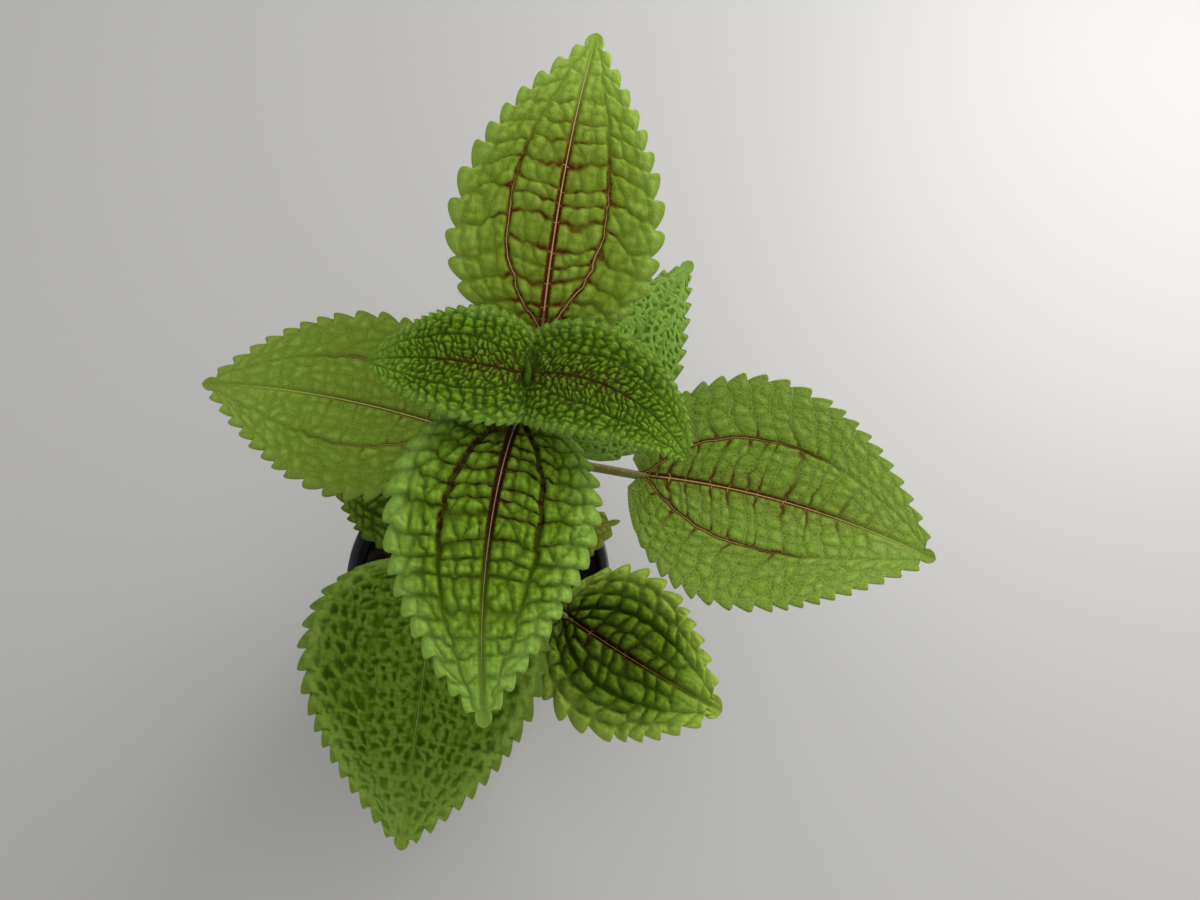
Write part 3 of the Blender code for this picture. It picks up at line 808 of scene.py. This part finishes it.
        tall_in = tall * (FIRST_ROW + ROW_GROWTH * u)
        tall_out = (self.station(row + 1) - self.station(row - 1)) * self.length / self.per_tooth
        calm = ramp(1 - np.abs(v), 0, 0.25)
        jag_share = jag_aside / np.maximum(span, 1)
        share_in = np.clip((np.abs(v) + jag_share) / rib, 0, 0.999)
        share_out = np.clip((np.abs(v) + jag_share * calm - rib) / (1 - rib), 0, 0.999)
        outside = (row / 2 - self.outer_slant * (1 - share_out) ** OUTER_BEND) * self.per_tooth
        outside += calm * (wander + jag / tall_out)
        within = cobbles(inside, share_in, tall_in, rib * span, count_inside, self.loose,
                         self.straight, self.seed + 0.1 * side)
        beyond = cobbles(outside, share_out, tall_out, (1 - rib) * span, count_outside,
                         self.loose, self.straight, self.seed + 40 + 0.1 * side)
        from_row, from_cell, line, ahead, aside, *own = np.where(inner, within, beyond)
        row_tall = np.where(inner, tall_in, tall_out)
        bumps = pebbles(x / self.pebble, y / self.pebble, self.seed)
        flat = self.ridge * (0.5 + bumps)
        round_at = np.maximum(PUFF_ROUND * np.minimum(row_tall, broad) - flat, PUFF_ROUND_LEAST)
        from_line = np.minimum(np.abs(from_row), np.minimum(from_rib, np.abs(from_side)))
        lengthways = 1 - (1 - np.clip((from_line - flat) / round_at, 0, 1)) ** self.dome
        crossways = np.clip((np.abs(from_cell) - flat) / round_at, 0, 1)
        crossways = 1 - (1 - crossways) ** self.dome
        tilt = PUFF_TILT * ((own[0] - 0.5) * ahead + (own[1] - 0.5) * aside)
        tilt -= self.shingled * ahead / row_tall
        stands = PUFF_LEAST + (1 - PUFF_LEAST) * own[2] + tilt
        puff = lengthways * (1 - self.parted * (1 - crossways)) * stands
        if self.pitted:
            puff = 1 - puff
        puff = puff * (1 - self.lumpy * (1 - bumps))
        chosen = 0.5 * (line % 2 + chance(line, side, self.seed))
        return from_row, from_cell, chosen, puff

    def raised(self, laid, height):
        """Points of the flat blade lifted to its place over the stem, at a height above it."""
        u = laid[:, 0] / self.length
        ahead = self.heading(u)
        level = np.cross((0, 0, 1), ahead)
        level /= np.linalg.norm(level, axis=-1)[:, None]
        up = np.cross(ahead, level)
        tilt = math.radians(self.roll)
        side = level * math.cos(tilt) + up * math.sin(tilt)
        normal = up * math.cos(tilt) - level * math.sin(tilt)
        height = height + self.fold * np.abs(laid[:, 1])
        height = height + self.curl * laid[:, 1] ** 2 / self.half_width
        return self.midrib(u) + side * laid[:, 1:2] + normal * height[:, None]

    def blade(self, shape):
        """Adds the blade: a fine grid, doubled for its thickness, puffed up and toothed.

        Gives the corners of its margin and those of its upper side, where hairs can grow.
        """
        names = ("puff", "from_row", "from_cell", "chosen", "from_midrib", "from_side_rib",
                 "along", "from_edge", "under", "laid_x")
        layers = [shape.verts.layers.float.new(name) for name in names]
        rows = self.teeth * self.fine
        bmesh.ops.create_grid(shape, x_segments=rows, y_segments=2 * self.columns, size=1)
        doubled = bmesh.ops.extrude_face_region(shape, geom=shape.faces[:])
        upper = {item for item in doubled["geom"] if isinstance(item, bmesh.types.BMVert)}
        corners = list(shape.verts)
        index = np.array([corner.co[:2] for corner in corners])
        on_top = np.array([corner in upper for corner in corners])
        line = np.rint((index[:, 0] + 1) / 2 * rows)
        row = line * 2 / self.fine
        v = np.rint(index[:, 1] * self.columns) / self.columns
        at_end = (line == 0) | (line == rows)
        laid = self.toothed(row, v)
        ends_at = np.where(line == 0, -self.reach, self.length)
        laid[at_end] = np.stack([ends_at, 0 * line], -1)[at_end]
        u = self.station(row)
        x, y = laid[:, 0], laid[:, 1]
        from_rib = np.abs(y)
        span = self.half_width * self.breadth(u)
        stray = self.jagged * ripple(x / STRAY_SIZE, y / STRAY_SIZE, self.seed + 3)
        from_side = (np.abs(v) - self.side_rib(u)) * span + stray
        from_row, from_cell, chosen, puff = self.veins(row, v, laid, from_rib, from_side)
        near_rib = self.ribbed * np.exp(-(from_rib / MIDRIB_GROOVE) ** 2)
        near_side = self.ribbed * np.exp(-(from_side / SIDE_RIB_GROOVE) ** 2)
        near_side *= 1 - ramp(u, *SIDE_RIB_FADES)
        groove = np.maximum(near_rib, near_side)
        calm = ramp(1 - np.abs(v), 0, 0.1) * ramp(u, 0.0, 0.1) * (1 - ramp(u, 0.9, 1.0))
        puff = puff * (1 - groove) * (0.25 + 0.75 * calm)
        lower = 1 - self.flatter * ramp(u, *PUFFS_LOWER)
        height = self.quilt * lower * ((1 + GROOVE_DEPTH) * puff - GROOVE_DEPTH * groove)
        below = np.maximum(np.exp(-(from_rib / RIB_BELOW_WIDTH) ** 2), 0.7 * near_side)
        below = BLADE_THICKNESS + RIB_BELOW * (1 - u) * below
        height = np.where(on_top, height, height - below)
        height[at_end] = np.where(on_top[at_end], 0, -BLADE_THICKNESS)
        place = self.raised(laid, height) * MM
        from_edge = (1 - np.abs(v)) * span
        under = np.where(on_top, 0.0, 1.0)
        facts = (puff, from_row, from_cell, chosen, y, from_side, u, from_edge, under, x)
        for corner, spot, values in zip(corners, place, np.stack(facts, -1).tolist()):
            corner.co = spot
            for layer, value in zip(layers, values):
                corner[layer] = value
        ends = [corner for corner, end in zip(corners, at_end) if end]
        margin = (np.abs(v) > 0.999) & ~at_end
        rims = [corner for corner, there in zip(corners, margin) if there]
        tops = [corner for corner, there in zip(corners, on_top & ~at_end & ~margin) if there]
        bmesh.ops.remove_doubles(shape, verts=ends, dist=TOUCHING)
        bmesh.ops.recalc_face_normals(shape, faces=shape.faces)
        shape.normal_update()
        return rims, tops

    def grow(self, blade_material, slot, rim_hairs=RIM_HAIRS, top_hairs=0):
        """The finished leaf, with its stalk and hairs, in place of its CAD node."""
        shape = bmesh.new()
        rims, tops = self.blade(shape)
        draw = random.Random(self.seed)
        roots = draw.sample(rims, rim_hairs) + draw.sample(tops, top_hairs)
        roots = [(corner.co.copy(), corner.normal.copy()) for corner in roots]
        azimuth, length, rise = self.petiole
        leaving = self.foot + rising(azimuth, rise + self.arch) * length * PETIOLE_BEND
        radii = [self.stalk * share for share in PETIOLE_SHARES]
        under = [self.midrib(u) - np.array((0, 0, 0.6 * BLADE_THICKNESS + sink * radius))
                 for (u, sink), radius in zip(UNDER_BLADE, radii[2:])]
        before = set(shape.faces)
        stalk(shape, [self.foot, leaving, *under], radii, sides=16, steps=8)
        stalk_faces = [face for face in shape.faces if face not in before]
        bmesh.ops.recalc_face_normals(shape, faces=stalk_faces)
        for face in stalk_faces:
            face.material_index = 1
            if draw.random() < STALK_HAIRS:
                roots.append((face.calc_center_median(), face.normal.copy()))
        hairs(self.name + "_hairs", roots, self.seed)
        piece = put(self.name + "_fine", shape, blade_material, self.name)
        piece.data.materials.append(olive_stalk)


def leaf_finish(name, hollow_painted_shade, crest, edge, edge_width, stain, stain_share, stain_reach,
                stained_rows, halo, rib, rib_width, rib_end, side_end=0.62, side_pale=0.9,
                side_halo=1.0, stub=1.2, spur=0.6, bled=0.5, broken=0.0, parting=0.3,
                thread=None, thread_width=0.15, thread_share=0.5):
    """A blade's colours: puffs and hollows, pale threads, stained veins and pale ribs.

    hollow, crest, edge, thread, stain and rib are colours: of the low places, where the
    darker colour is painted shade, of the tops of the puffs, of a band edge_width wide along
    the margin, of the net between the puffs, of the stain in the veins, and of the ribs. A
    lighter copy of crest is a painted highlight on the highest tops, and a darker copy of
    edge is painted shade in the hollows of the margin. rib_end and side_end are where the
    midrib and the side ribs fade. halo is the width of the stain beside a rib, stain_reach
    how far it goes up the cross veins, stained_rows the share of these that have it, spur
    how wide it is there, broken how often it stops, parting how much of it runs between the
    puffs of a row, and bled how much of it lies in the hollows. stub is how far the pale of a
    rib goes up a cross vein. stain_share and thread_share are the strengths of the stain and
    of the net, and side_halo and side_pale those of the stain and of the pale on the side
    ribs. Widths are in millimetres.
    """
    finish = Finish(name, crest, BLADE_ROUGHNESS)
    along = finish.attribute("along")
    from_midrib = finish.attribute("from_midrib")
    across = abs(from_midrib)
    beside = abs(finish.attribute("from_side_rib"))
    puff = finish.attribute("puff")
    from_row = abs(finish.attribute("from_row"))
    from_cell = abs(finish.attribute("from_cell"))
    laid_x = finish.attribute("laid_x")
    laid = finish.node("ShaderNodeCombineXYZ", {"X": laid_x, "Y": from_midrib})
    mottle = finish.noise(laid, 0.3, 3) - 0.5
    grain = finish.noise(laid, 1.6, 3) - 0.5
    specks = finish.noise(laid, 3.5, 2) - 0.5

    # The green, with painted shade darkening the hollows and a painted highlight on the tops of
    # the puffs. It is lighter at the margin, where its hollows get painted shade too, and at the
    # tip.
    lit = puff + mottle * 0.4 + grain * 0.3 + specks * 0.2 + along.step(0.45, 0.95) * 0.25
    # Painted shade and highlight: the hollow colour darkens the low places between the puffs, and
    # this lighter copy of the crest colour is a painted highlight on their highest tops.
    top = tuple(1.4 * c + 0.02 for c in crest)
    colour = finish.mix(lit.step(-0.05, 0.75), hollow_painted_shade, crest)
    colour = finish.mix(lit.step(0.55, 1.1) * 0.8, colour, top)
    inward = finish.attribute("from_edge")
    lighter = (inward + mottle * edge_width * 1.5).step(edge_width, 0)
    lighter = lighter.highest((along + mottle * 0.3).step(0.6, 1.05) * 0.8)
    # Painted shade at the margin too: a darker copy of the edge colour, for its hollows.
    shaded = tuple(0.72 * c for c in edge)
    margin = finish.mix(lit.step(0.0, 0.7), shaded, edge)
    colour = finish.mix(lighter * 0.85, colour, margin)

    # The net: the lines between the puffs, and a finer mesh of veins all over.
    warp = finish.node("ShaderNodeTexNoise", {"Vector": laid, "Scale": 0.9, "Detail": 2}, "Color")
    bent = finish.node("ShaderNodeVectorMath", {0: laid, 1: warp}, operation="ADD")
    fine = finish.node("ShaderNodeTexVoronoi", {"Vector": bent, "Scale": 0.8},
                       feature="DISTANCE_TO_EDGE", voronoi_dimensions="2D")
    veins = from_row.maths("MINIMUM", from_cell) + grain * 0.12
    veins = veins.step(thread_width * 1.6, thread_width * 0.4)
    threads = veins.highest(fine.step(0.16, 0.02) * 0.4)
    if thread:
        colour = finish.mix(threads * thread_share, colour, thread)

    # The stain: along the ribs, up the cross veins from them, and into the hollows between.
    chosen = finish.attribute("chosen").step(1 - stained_rows, 1.15 - stained_rows)
    clear = beside.step(0.25, 0.6) * across.step(0.15, 0.4)
    to_rib = (across * (-1 / stain_reach)).maths("EXPONENT")
    to_side = (beside * (-1.6 / stain_reach)).maths("EXPONENT")
    to_side = to_side * along.step(side_end + 0.1, side_end - 0.2)
    spread = to_rib.highest(to_side * 0.85)
    fading = along.step(rib_end, rib_end - 0.35)
    strength = (spread * 1.8).maths("MINIMUM", 1)
    gaps = 1 - broken * finish.noise(laid, 0.45, 3).step(0.56, 0.44)
    cross = (from_row + grain * 0.5).step(0.15 + spur * spread, 0.05) * chosen * strength * gaps
    between = (from_cell + grain * 0.3).step(0.1 + 0.4 * spread, 0.02) * strength * parting
    cross = cross.highest(between) * clear
    narrow = halo * (1.1 - along * 0.8)
    blur = grain * halo * 0.9
    by_midrib = ((across + blur) / narrow).step(1.35, 0.7)
    by_side = ((beside + blur) / narrow).step(0.95, 0.4)
    by_side = by_side * along.step(side_end + 0.06, side_end - 0.12) * side_halo * gaps
    bleed = to_rib.highest(to_side * 0.6) ** 2 * bled * (puff.step(0.7, 0.1) + 0.35) * gaps
    stained = by_midrib.highest(by_side).highest(cross).highest(bleed)
    colour = finish.mix((stained * fading * stain_share).maths("MINIMUM", 1), colour, stain)

    # The ribs themselves, pale, with short stubs where the cross veins leave them.
    thin = rib_width * (1.1 - along * 0.8)
    line = ((across + grain * 0.1) / thin).step(1.2, 0.7) * along.step(1.0, rib_end)
    side_line = ((beside + grain * 0.1) / thin).step(0.9, 0.45) * along.step(side_end - 0.05, 0.3)
    stubs = (from_row / thin).step(0.8, 0.3) * chosen * clear
    stubs = stubs * (across.maths("MINIMUM", beside * 1.5) / stub).step(1, 0.3) * fading
    pale = line.highest(side_line * side_pale).highest(stubs * 0.8)
    colour = finish.mix(pale, colour, rib)

    # The underside, paler and duller, with its raised veins lighter still.
    under = finish.attribute("under")
    reverse = tuple(0.6 * c + 0.3 * e + 0.03 for c, e in zip(crest, edge))
    ridge = tuple(1.3 * c + 0.04 for c in reverse)
    ridges = threads.highest(across.step(0.9, 0.4)).highest(beside.step(0.7, 0.3))
    reverse = finish.mix(ridges * 0.6, reverse, ridge)
    finish.set("Base Color", finish.mix(under, colour, reverse))

    # The skin: a fine grain, hardly any gloss, and some light that passes through.
    finish.bump(finish.noise(laid, 1.3, 4) + fine.step(0.0, 0.3) * 0.15, 0.6 * MM, 0.5)
    finish.set("Subsurface Weight", 0.2)
    finish.set("Subsurface Radius", (0.9, 1.0, 0.1))
    finish.set("Subsurface Scale", 0.8 * MM)
    finish.set("Specular IOR Level", 0.02)
    return finish.material


Leaf("leaf_e_right", "e", petiole=(-40, 36, 24), stalk=1.2, azimuth=-34, rise=1, droop=28,
     sweep=11, length=63, half_width=27, fullness=0.46, taper=1.0, fold=0.04, curl=-0.03,
     teeth=12, tooth=3.5, quilt=2.1, cell=(5.6, 5.2), tip=4.0, loose=(0.2, 0.3), slant=0.2,
     outer_slant=0.5, tip_teeth=-0.25, pebble=1.9, point=1.6, lean=0.9, parted=1.0, lumpy=0.45,
     straight=1.0, jagged=0.35, shingled=0.45, seed=1, fine=12, columns=52).grow(
    leaf_finish("dark quilted blade", hollow_painted_shade=(0.042, 0.075, 0.003), crest=(0.115, 0.20, 0.009),
                edge=(0.33, 0.46, 0.065), edge_width=13, stain=(0.022, 0.009, 0.002),
                stain_share=1.0, stain_reach=8, stained_rows=1.0, broken=0.4, halo=1.4,
                side_halo=0.3, bled=0.9, parting=0.8, rib=(0.33, 0.22, 0.06), rib_width=0.17,
                side_pale=0.05, rib_end=0.75, side_end=0.4),
    "leaf_e")
Leaf("leaf_e_left", "e", petiole=(140, 24, 22), stalk=1.1, azimuth=162, rise=2, droop=20,
     length=41, half_width=18, fullness=0.46, taper=1.1, fold=0.04, curl=-0.03, teeth=10,
     tooth=2.2, quilt=0.8, cell=(3.6, 3.4), loose=(0.35, 0.5), slant=0.45, outer_slant=1.0,
     tip_teeth=-0.2, pebble=2.0, point=1.6, lean=0.8, straight=0.7, seed=2, fine=12,
     columns=40).grow(
    leaf_finish("shaded blade", hollow_painted_shade=(0.03, 0.052, 0.002), crest=(0.07, 0.125, 0.008),
                edge=(0.11, 0.17, 0.02), edge_width=4, stain=(0.022, 0.009, 0.002),
                stain_share=0.7, stain_reach=4, stained_rows=0.7, halo=0.6,
                rib=(0.30, 0.23, 0.06), rib_width=0.24, side_pale=0.05, rib_end=0.75,
                side_end=0.4),
    "leaf_e")
Leaf("leaf_f_side", "e", petiole=(8, 22, 40), stalk=0.7, azimuth=14, rise=4, droop=16, sweep=6,
     length=29.5, half_width=10, fullness=0.46, taper=1.0, fold=0.05, curl=-0.05, teeth=7,
     tooth=1.2, quilt=0.4, cell=(2.4, 2.4), loose=(0.4, 0.5), slant=0.3, outer_slant=0.8,
     pebble=1.4, point=1.6, lean=0.8, seed=3, fine=14, columns=26).grow(
    leaf_finish("young olive blade", hollow_painted_shade=(0.07, 0.085, 0.008), crest=(0.13, 0.165, 0.02),
                edge=(0.17, 0.20, 0.03), edge_width=2.5, stain=(0.08, 0.045, 0.012),
                stain_share=0.5, stain_reach=3, stained_rows=0.6, halo=0.5,
                rib=(0.30, 0.23, 0.07), rib_width=0.2, rib_end=0.8, thread=(0.19, 0.22, 0.05),
                thread_width=0.12, thread_share=0.4),
    "leaf_f")

# The second pair from the soil, the widest leaves, the front one a darker green than the back
# one. Each has a raised net, soft to the touch, and painted shade darkens the pits between its
# threads. The back one rolls its edges down.
Leaf("leaf_d_front", "d", petiole=(-133, 25, 24), stalk=1.4, azimuth=-94, rise=1, droop=33,
     sweep=-4, roll=3, length=84, half_width=35.9, fullness=0.42, taper=1.05, fold=0.1, curl=0.05,
     teeth=19, tooth=2.6, quilt=1.1, cell=(3.8, 3.3), loose=(0.35, 0.6), slant=0.3,
     outer_slant=1.0, pebble=1.6, point=1.6, lean=1.1, ridge=0.45, parted=1.0, ribbed=0.3,
     pitted=True, straight=0.8, jagged=0.8, seed=4, fine=9).grow(
    leaf_finish("netted dark blade", hollow_painted_shade=(0.042, 0.084, 0.003), crest=(0.090, 0.160, 0.008),
                edge=(0.24, 0.36, 0.055), edge_width=9, stain=(0.03, 0.04, 0.004),
                stain_share=0.4, stain_reach=3, stained_rows=0.4, halo=0.6,
                rib=(0.20, 0.24, 0.05), rib_width=0.22, side_pale=0.15, rib_end=0.9, side_end=0.3,
                thread=(0.125, 0.195, 0.03), thread_width=0.1, thread_share=0.15),
    "leaf_d")
Leaf("leaf_d_back", "d", petiole=(48, 37, 22), stalk=1.4, azimuth=56, rise=20, droop=25, sweep=1,
     roll=8, length=76, half_width=22.5, fullness=0.4, taper=1.15, fold=0.0, curl=-0.2, teeth=15,
     tooth=2.6, quilt=0.6, cell=(3.0, 2.4), loose=(0.8, 0.8), slant=0.3, outer_slant=1.1,
     per_tooth=2, pebble=1.3, point=1.2, lean=1.2, ridge=0.4, parted=1.0, lumpy=0.45, ribbed=0.4,
     pitted=True, straight=0.8, jagged=0.7, seed=5, fine=11, columns=50).grow(
    leaf_finish("netted back blade", hollow_painted_shade=(0.06, 0.14, 0.004), crest=(0.155, 0.275, 0.038),
                edge=(0.19, 0.30, 0.05), edge_width=4, stain=(0.03, 0.04, 0.004), stain_share=0.3,
                stain_reach=3, stained_rows=0.4, halo=0.6, rib=(0.22, 0.27, 0.06), rib_width=0.24,
                side_pale=0.2, rib_end=0.85, side_end=0.3, thread=(0.19, 0.28, 0.06),
                thread_width=0.1, thread_share=0.4),
    "leaf_d")

# The third pair, held out level to the left and right. These blades are thin and lit
# through, a light yellow-green with a fine pale net, and quilted only a little. Brown spurs
# stand on the tan ribs.
Leaf("leaf_c_left", "c", petiole=(162, 22, 36), stalk=1.3, azimuth=165, rise=9, droop=22, sweep=9,
     roll=-3, length=76, half_width=28.5, fullness=0.52, taper=1.05, fold=0.06, curl=-0.02,
     teeth=17, tooth=2.5, quilt=0.4, cell=(4.0, 3.2), loose=(0.45, 0.6), slant=0.15,
     outer_slant=1.1, pebble=2.1, point=1.7, lean=0.8, straight=0.7, lumpy=0.55, jagged=0.6,
     shingled=0.2, seed=6, fine=9).grow(
    leaf_finish("light netted blade", hollow_painted_shade=(0.12, 0.195, 0.013), crest=(0.17, 0.265, 0.028),
                edge=(0.215, 0.31, 0.045), edge_width=5, stain=(0.07, 0.04, 0.006),
                stain_share=0.95, stain_reach=2.5, stained_rows=0.4, halo=0.6,
                rib=(0.42, 0.40, 0.12), rib_width=0.2, side_pale=0.6, rib_end=0.7,
                thread=(0.25, 0.32, 0.07), thread_width=0.08, thread_share=0.6),
    "leaf_c")
Leaf("leaf_c_right", "c", petiole=(-12, 41, 20), stalk=1.45, azimuth=-11, rise=16, droop=17,
     sweep=-16, length=83.9, half_width=34.5, fullness=0.54, taper=1.0, fold=0.1, curl=0.03,
     teeth=21, tooth=2.4, quilt=0.6, cell=(3.8, 3.2), loose=(0.35, 0.7), slant=0.22,
     outer_slant=1.3, pebble=2.2, point=1.35, lean=1.0, straight=0.4, lumpy=0.6, jagged=0.35,
     shingled=0.2, seed=7).grow(
    leaf_finish("light spurred blade", hollow_painted_shade=(0.108, 0.185, 0.011), crest=(0.165, 0.268, 0.027),
                edge=(0.205, 0.31, 0.045), edge_width=6, stain=(0.065, 0.022, 0.004),
                stain_share=1.0, stain_reach=6, stained_rows=0.65, broken=0.1, halo=1.0,
                rib=(0.52, 0.38, 0.13), rib_width=0.18, side_pale=0.7, stub=1.8, spur=1.15,
                rib_end=0.9, thread=(0.30, 0.39, 0.10), thread_width=0.085, thread_share=0.75),
    "leaf_c")

# The fourth pair, the brightest: full-grown blades at the height of their colour, deeply
# quilted, with red-brown stains along their ribs and cross veins. The back one rises and is
# lit through, and the front one hangs down over the pot.
Leaf("leaf_b_back", "b", petiole=(74, 18, 34), stalk=1.1, azimuth=84, rise=34, droop=32, sweep=-7,
     roll=1, length=89, half_width=29, fullness=0.52, taper=1.15, fold=0.0, curl=-0.06, teeth=15,
     tooth=3.1, quilt=1.05, cell=(6.2, 3.8), dome=2.1, flatter=0.5, loose=(0.25, 0.7), slant=0.25,
     outer_slant=0.8, pebble=2.5, point=2.1, lean=0.7, lumpy=0.6, parted=0.6, straight=0.45,
     jagged=0.5, wander=0.3, columns=60, seed=8, fine=11).grow(
    leaf_finish("lit red-veined blade", hollow_painted_shade=(0.14, 0.22, 0.014), crest=(0.195, 0.29, 0.028),
                edge=(0.30, 0.44, 0.07), edge_width=6, stain=(0.085, 0.018, 0.003),
                stain_share=1.0, stain_reach=7, stained_rows=1.0, broken=0.35, halo=1.3,
                rib=(0.66, 0.45, 0.22), rib_width=0.2, spur=1.9, rib_end=0.85),
    "leaf_b")
Leaf("leaf_b_front", "b", petiole=(-97, 14, 46), stalk=1.1, azimuth=-104, rise=20, droop=48,
     sweep=20, roll=-3, length=83, half_width=26.3, fullness=0.54, taper=1.1, fold=0.0,
     curl=-0.08, teeth=18, tooth=2.4, quilt=1.6, cell=(5.2, 3.4), dome=2.0, flatter=0.4,
     loose=(0.25, 0.7), slant=0.15, outer_slant=0.35, pebble=1.8, point=1.9, lean=0.7, lumpy=0.55,
     parted=0.75, straight=0.35, jagged=0.6, shingled=0.7, seed=9, fine=10, columns=60).grow(
    leaf_finish("deep red-veined blade", hollow_painted_shade=(0.066, 0.116, 0.004), crest=(0.136, 0.24, 0.014),
                edge=(0.26, 0.42, 0.07), edge_width=9, stain=(0.030, 0.008, 0.003),
                stain_share=1.0, stain_reach=9, stained_rows=0.95, broken=0.45, halo=1.5,
                bled=0.7, rib=(0.42, 0.29, 0.16), rib_width=0.15, side_pale=0.1, stub=0.6,
                rib_end=0.72, side_end=0.55),
    "leaf_b")

# The top pair, still small and pressed together at the base. They are a deep green, pebbled
# all over with little puffs in rows, and stained brown along the middle.
young = dict(arch=-42, stalk=0.55, half_width=16.5, fullness=0.28, shoulder=0.09, curl=0.0,
             tooth=1.3, quilt=0.9, cell=(1.6, 2.1), dome=1.5, loose=(0.7, 0.8), slant=0.35,
             outer_slant=0.6, pebble=1.1, point=1.8, lean=0.6, ribbed=0.25, lumpy=0.65,
             parted=0.55, straight=0.8, jagged=0.5, shingled=0.8, reach=2.2, columns=62)
pebbled = leaf_finish(
    "pebbled blade", hollow_painted_shade=(0.030, 0.066, 0.003), crest=(0.120, 0.225, 0.011),
    edge=(0.18, 0.31, 0.04), edge_width=4.5, stain=(0.048, 0.032, 0.004), stain_share=0.75,
    stain_reach=9, stained_rows=0.15, broken=0.7, halo=0.6, side_halo=0.3, bled=1.4,
    rib=(0.04, 0.035, 0.005), rib_width=0.1, side_pale=0.0, rib_end=0.7, side_end=0.5)
top_pair = (
    Leaf("leaf_a_left", "a", petiole=(186, 5.2, 67), azimuth=176, rise=24, droop=60, sweep=-6,
         length=43, taper=0.85, fold=0.07, teeth=22, seed=10, **young),
    Leaf("leaf_a_right", "a", petiole=(-6, 5.2, 67), azimuth=-9, rise=30, droop=78, sweep=-38,
         length=51, taper=0.95, fold=0.05, teeth=26, seed=11, **young),
)
for leaf in top_pair:
    leaf.grow(pebbled, "leaf_a", rim_hairs=300, top_hairs=700)

# The bud at the tip of the stem: two tiny leaves still pressed face to face, pale and furry.
BUD_SIZE = Vector((0.9, 2.4, 2.4)) * MM
BUD_CENTRE = Vector((17.5, 29.7, 173.8)) * MM
BUD_APART = Vector((0.1, 0.9, 0.2)) * MM
BUD_FIT = 0.97
CORNERS_TO_HAIR = 4
bud = bmesh.new()
for side in (-1, 1):
    half = bmesh.ops.create_uvsphere(bud, u_segments=24, v_segments=16, radius=1)["verts"]
    bmesh.ops.scale(bud, vec=BUD_SIZE * BUD_FIT, verts=half)
    bmesh.ops.translate(bud, vec=BUD_CENTRE + BUD_APART * side, verts=half)
bud_finish = Finish("bud fur", (0.045, 0.105, 0.004), roughness=0.8)
bud_finish.bump(bud_finish.noise(bud_finish.place(), 2500, 3), 0.3 * MM, 0.8)
bud_finish.set("Specular IOR Level", 0.05)
bud.normal_update()
furred = list(bud.verts)[::CORNERS_TO_HAIR]
roots = [(corner.co.copy(), corner.normal.copy()) for corner in furred]
hairs("bud_hairs", roots, seed=12)
put("bud", bud, bud_finish.material, "bud_tip")

# What it stands on and how it is lit and seen: a pale painted shelf, in soft daylight from
# all round and from a window at the back right, looked at from nearly straight above.
SHELF_REACH = 1.6
DAYLIGHT = 0.7
WINDOW_PLACE = Vector((0.5, 0.42, 0.45))
WINDOW_AIM = Vector((0.05, 0.0, 0.1))
WINDOW_SIZE = 0.5
WINDOW_POWER = 4.2
CAMERA_PLACE = (0.0244, -0.0764, 0.3845)
CAMERA_RIGHT = Vector((0.9984, 0, 0.0565))
CAMERA_UP = Vector((-0.0212, 0.9267, 0.3752))

floor_shape = bmesh.new()
bmesh.ops.create_grid(floor_shape, x_segments=1, y_segments=1, size=SHELF_REACH)
floor_mesh = bpy.data.meshes.new("shelf")
floor_shape.to_mesh(floor_mesh)
floor_shape.free()
floor_mesh.materials.append(Finish("pale paint", (0.47, 0.465, 0.455)).material)
floor = bpy.data.objects.new("shelf", floor_mesh)
bpy.context.scene.collection.objects.link(floor)

world = bpy.data.worlds.new("daylight")
world.use_nodes = True
sky = world.node_tree.nodes["Background"]
sky.inputs["Color"].default_value = (1.0, 1.0, 0.99, 1)
sky.inputs["Strength"].default_value = DAYLIGHT
bpy.context.scene.world = world

lamp = bpy.data.lights.new("window", "AREA")
lamp.size = WINDOW_SIZE
lamp.energy = WINDOW_POWER
lamp.color = (1.0, 0.99, 0.97)
window = bpy.data.objects.new("window", lamp)
window.location = WINDOW_PLACE
window.rotation_euler = (WINDOW_AIM - WINDOW_PLACE).to_track_quat("-Z", "Y").to_euler()
bpy.context.scene.collection.objects.link(window)

lens = bpy.data.cameras.new("camera")
lens.lens = 27
lens.sensor_width = 36
lens.clip_start = 0.01
camera = bpy.data.objects.new("camera", lens)
camera_axes = Matrix((CAMERA_RIGHT, CAMERA_UP, CAMERA_RIGHT.cross(CAMERA_UP))).transposed()
camera.matrix_world = Matrix.Translation(CAMERA_PLACE) @ camera_axes.to_4x4()
bpy.context.scene.collection.objects.link(camera)
bpy.context.scene.camera = camera
bpy.context.scene.view_settings.view_transform = "Standard"
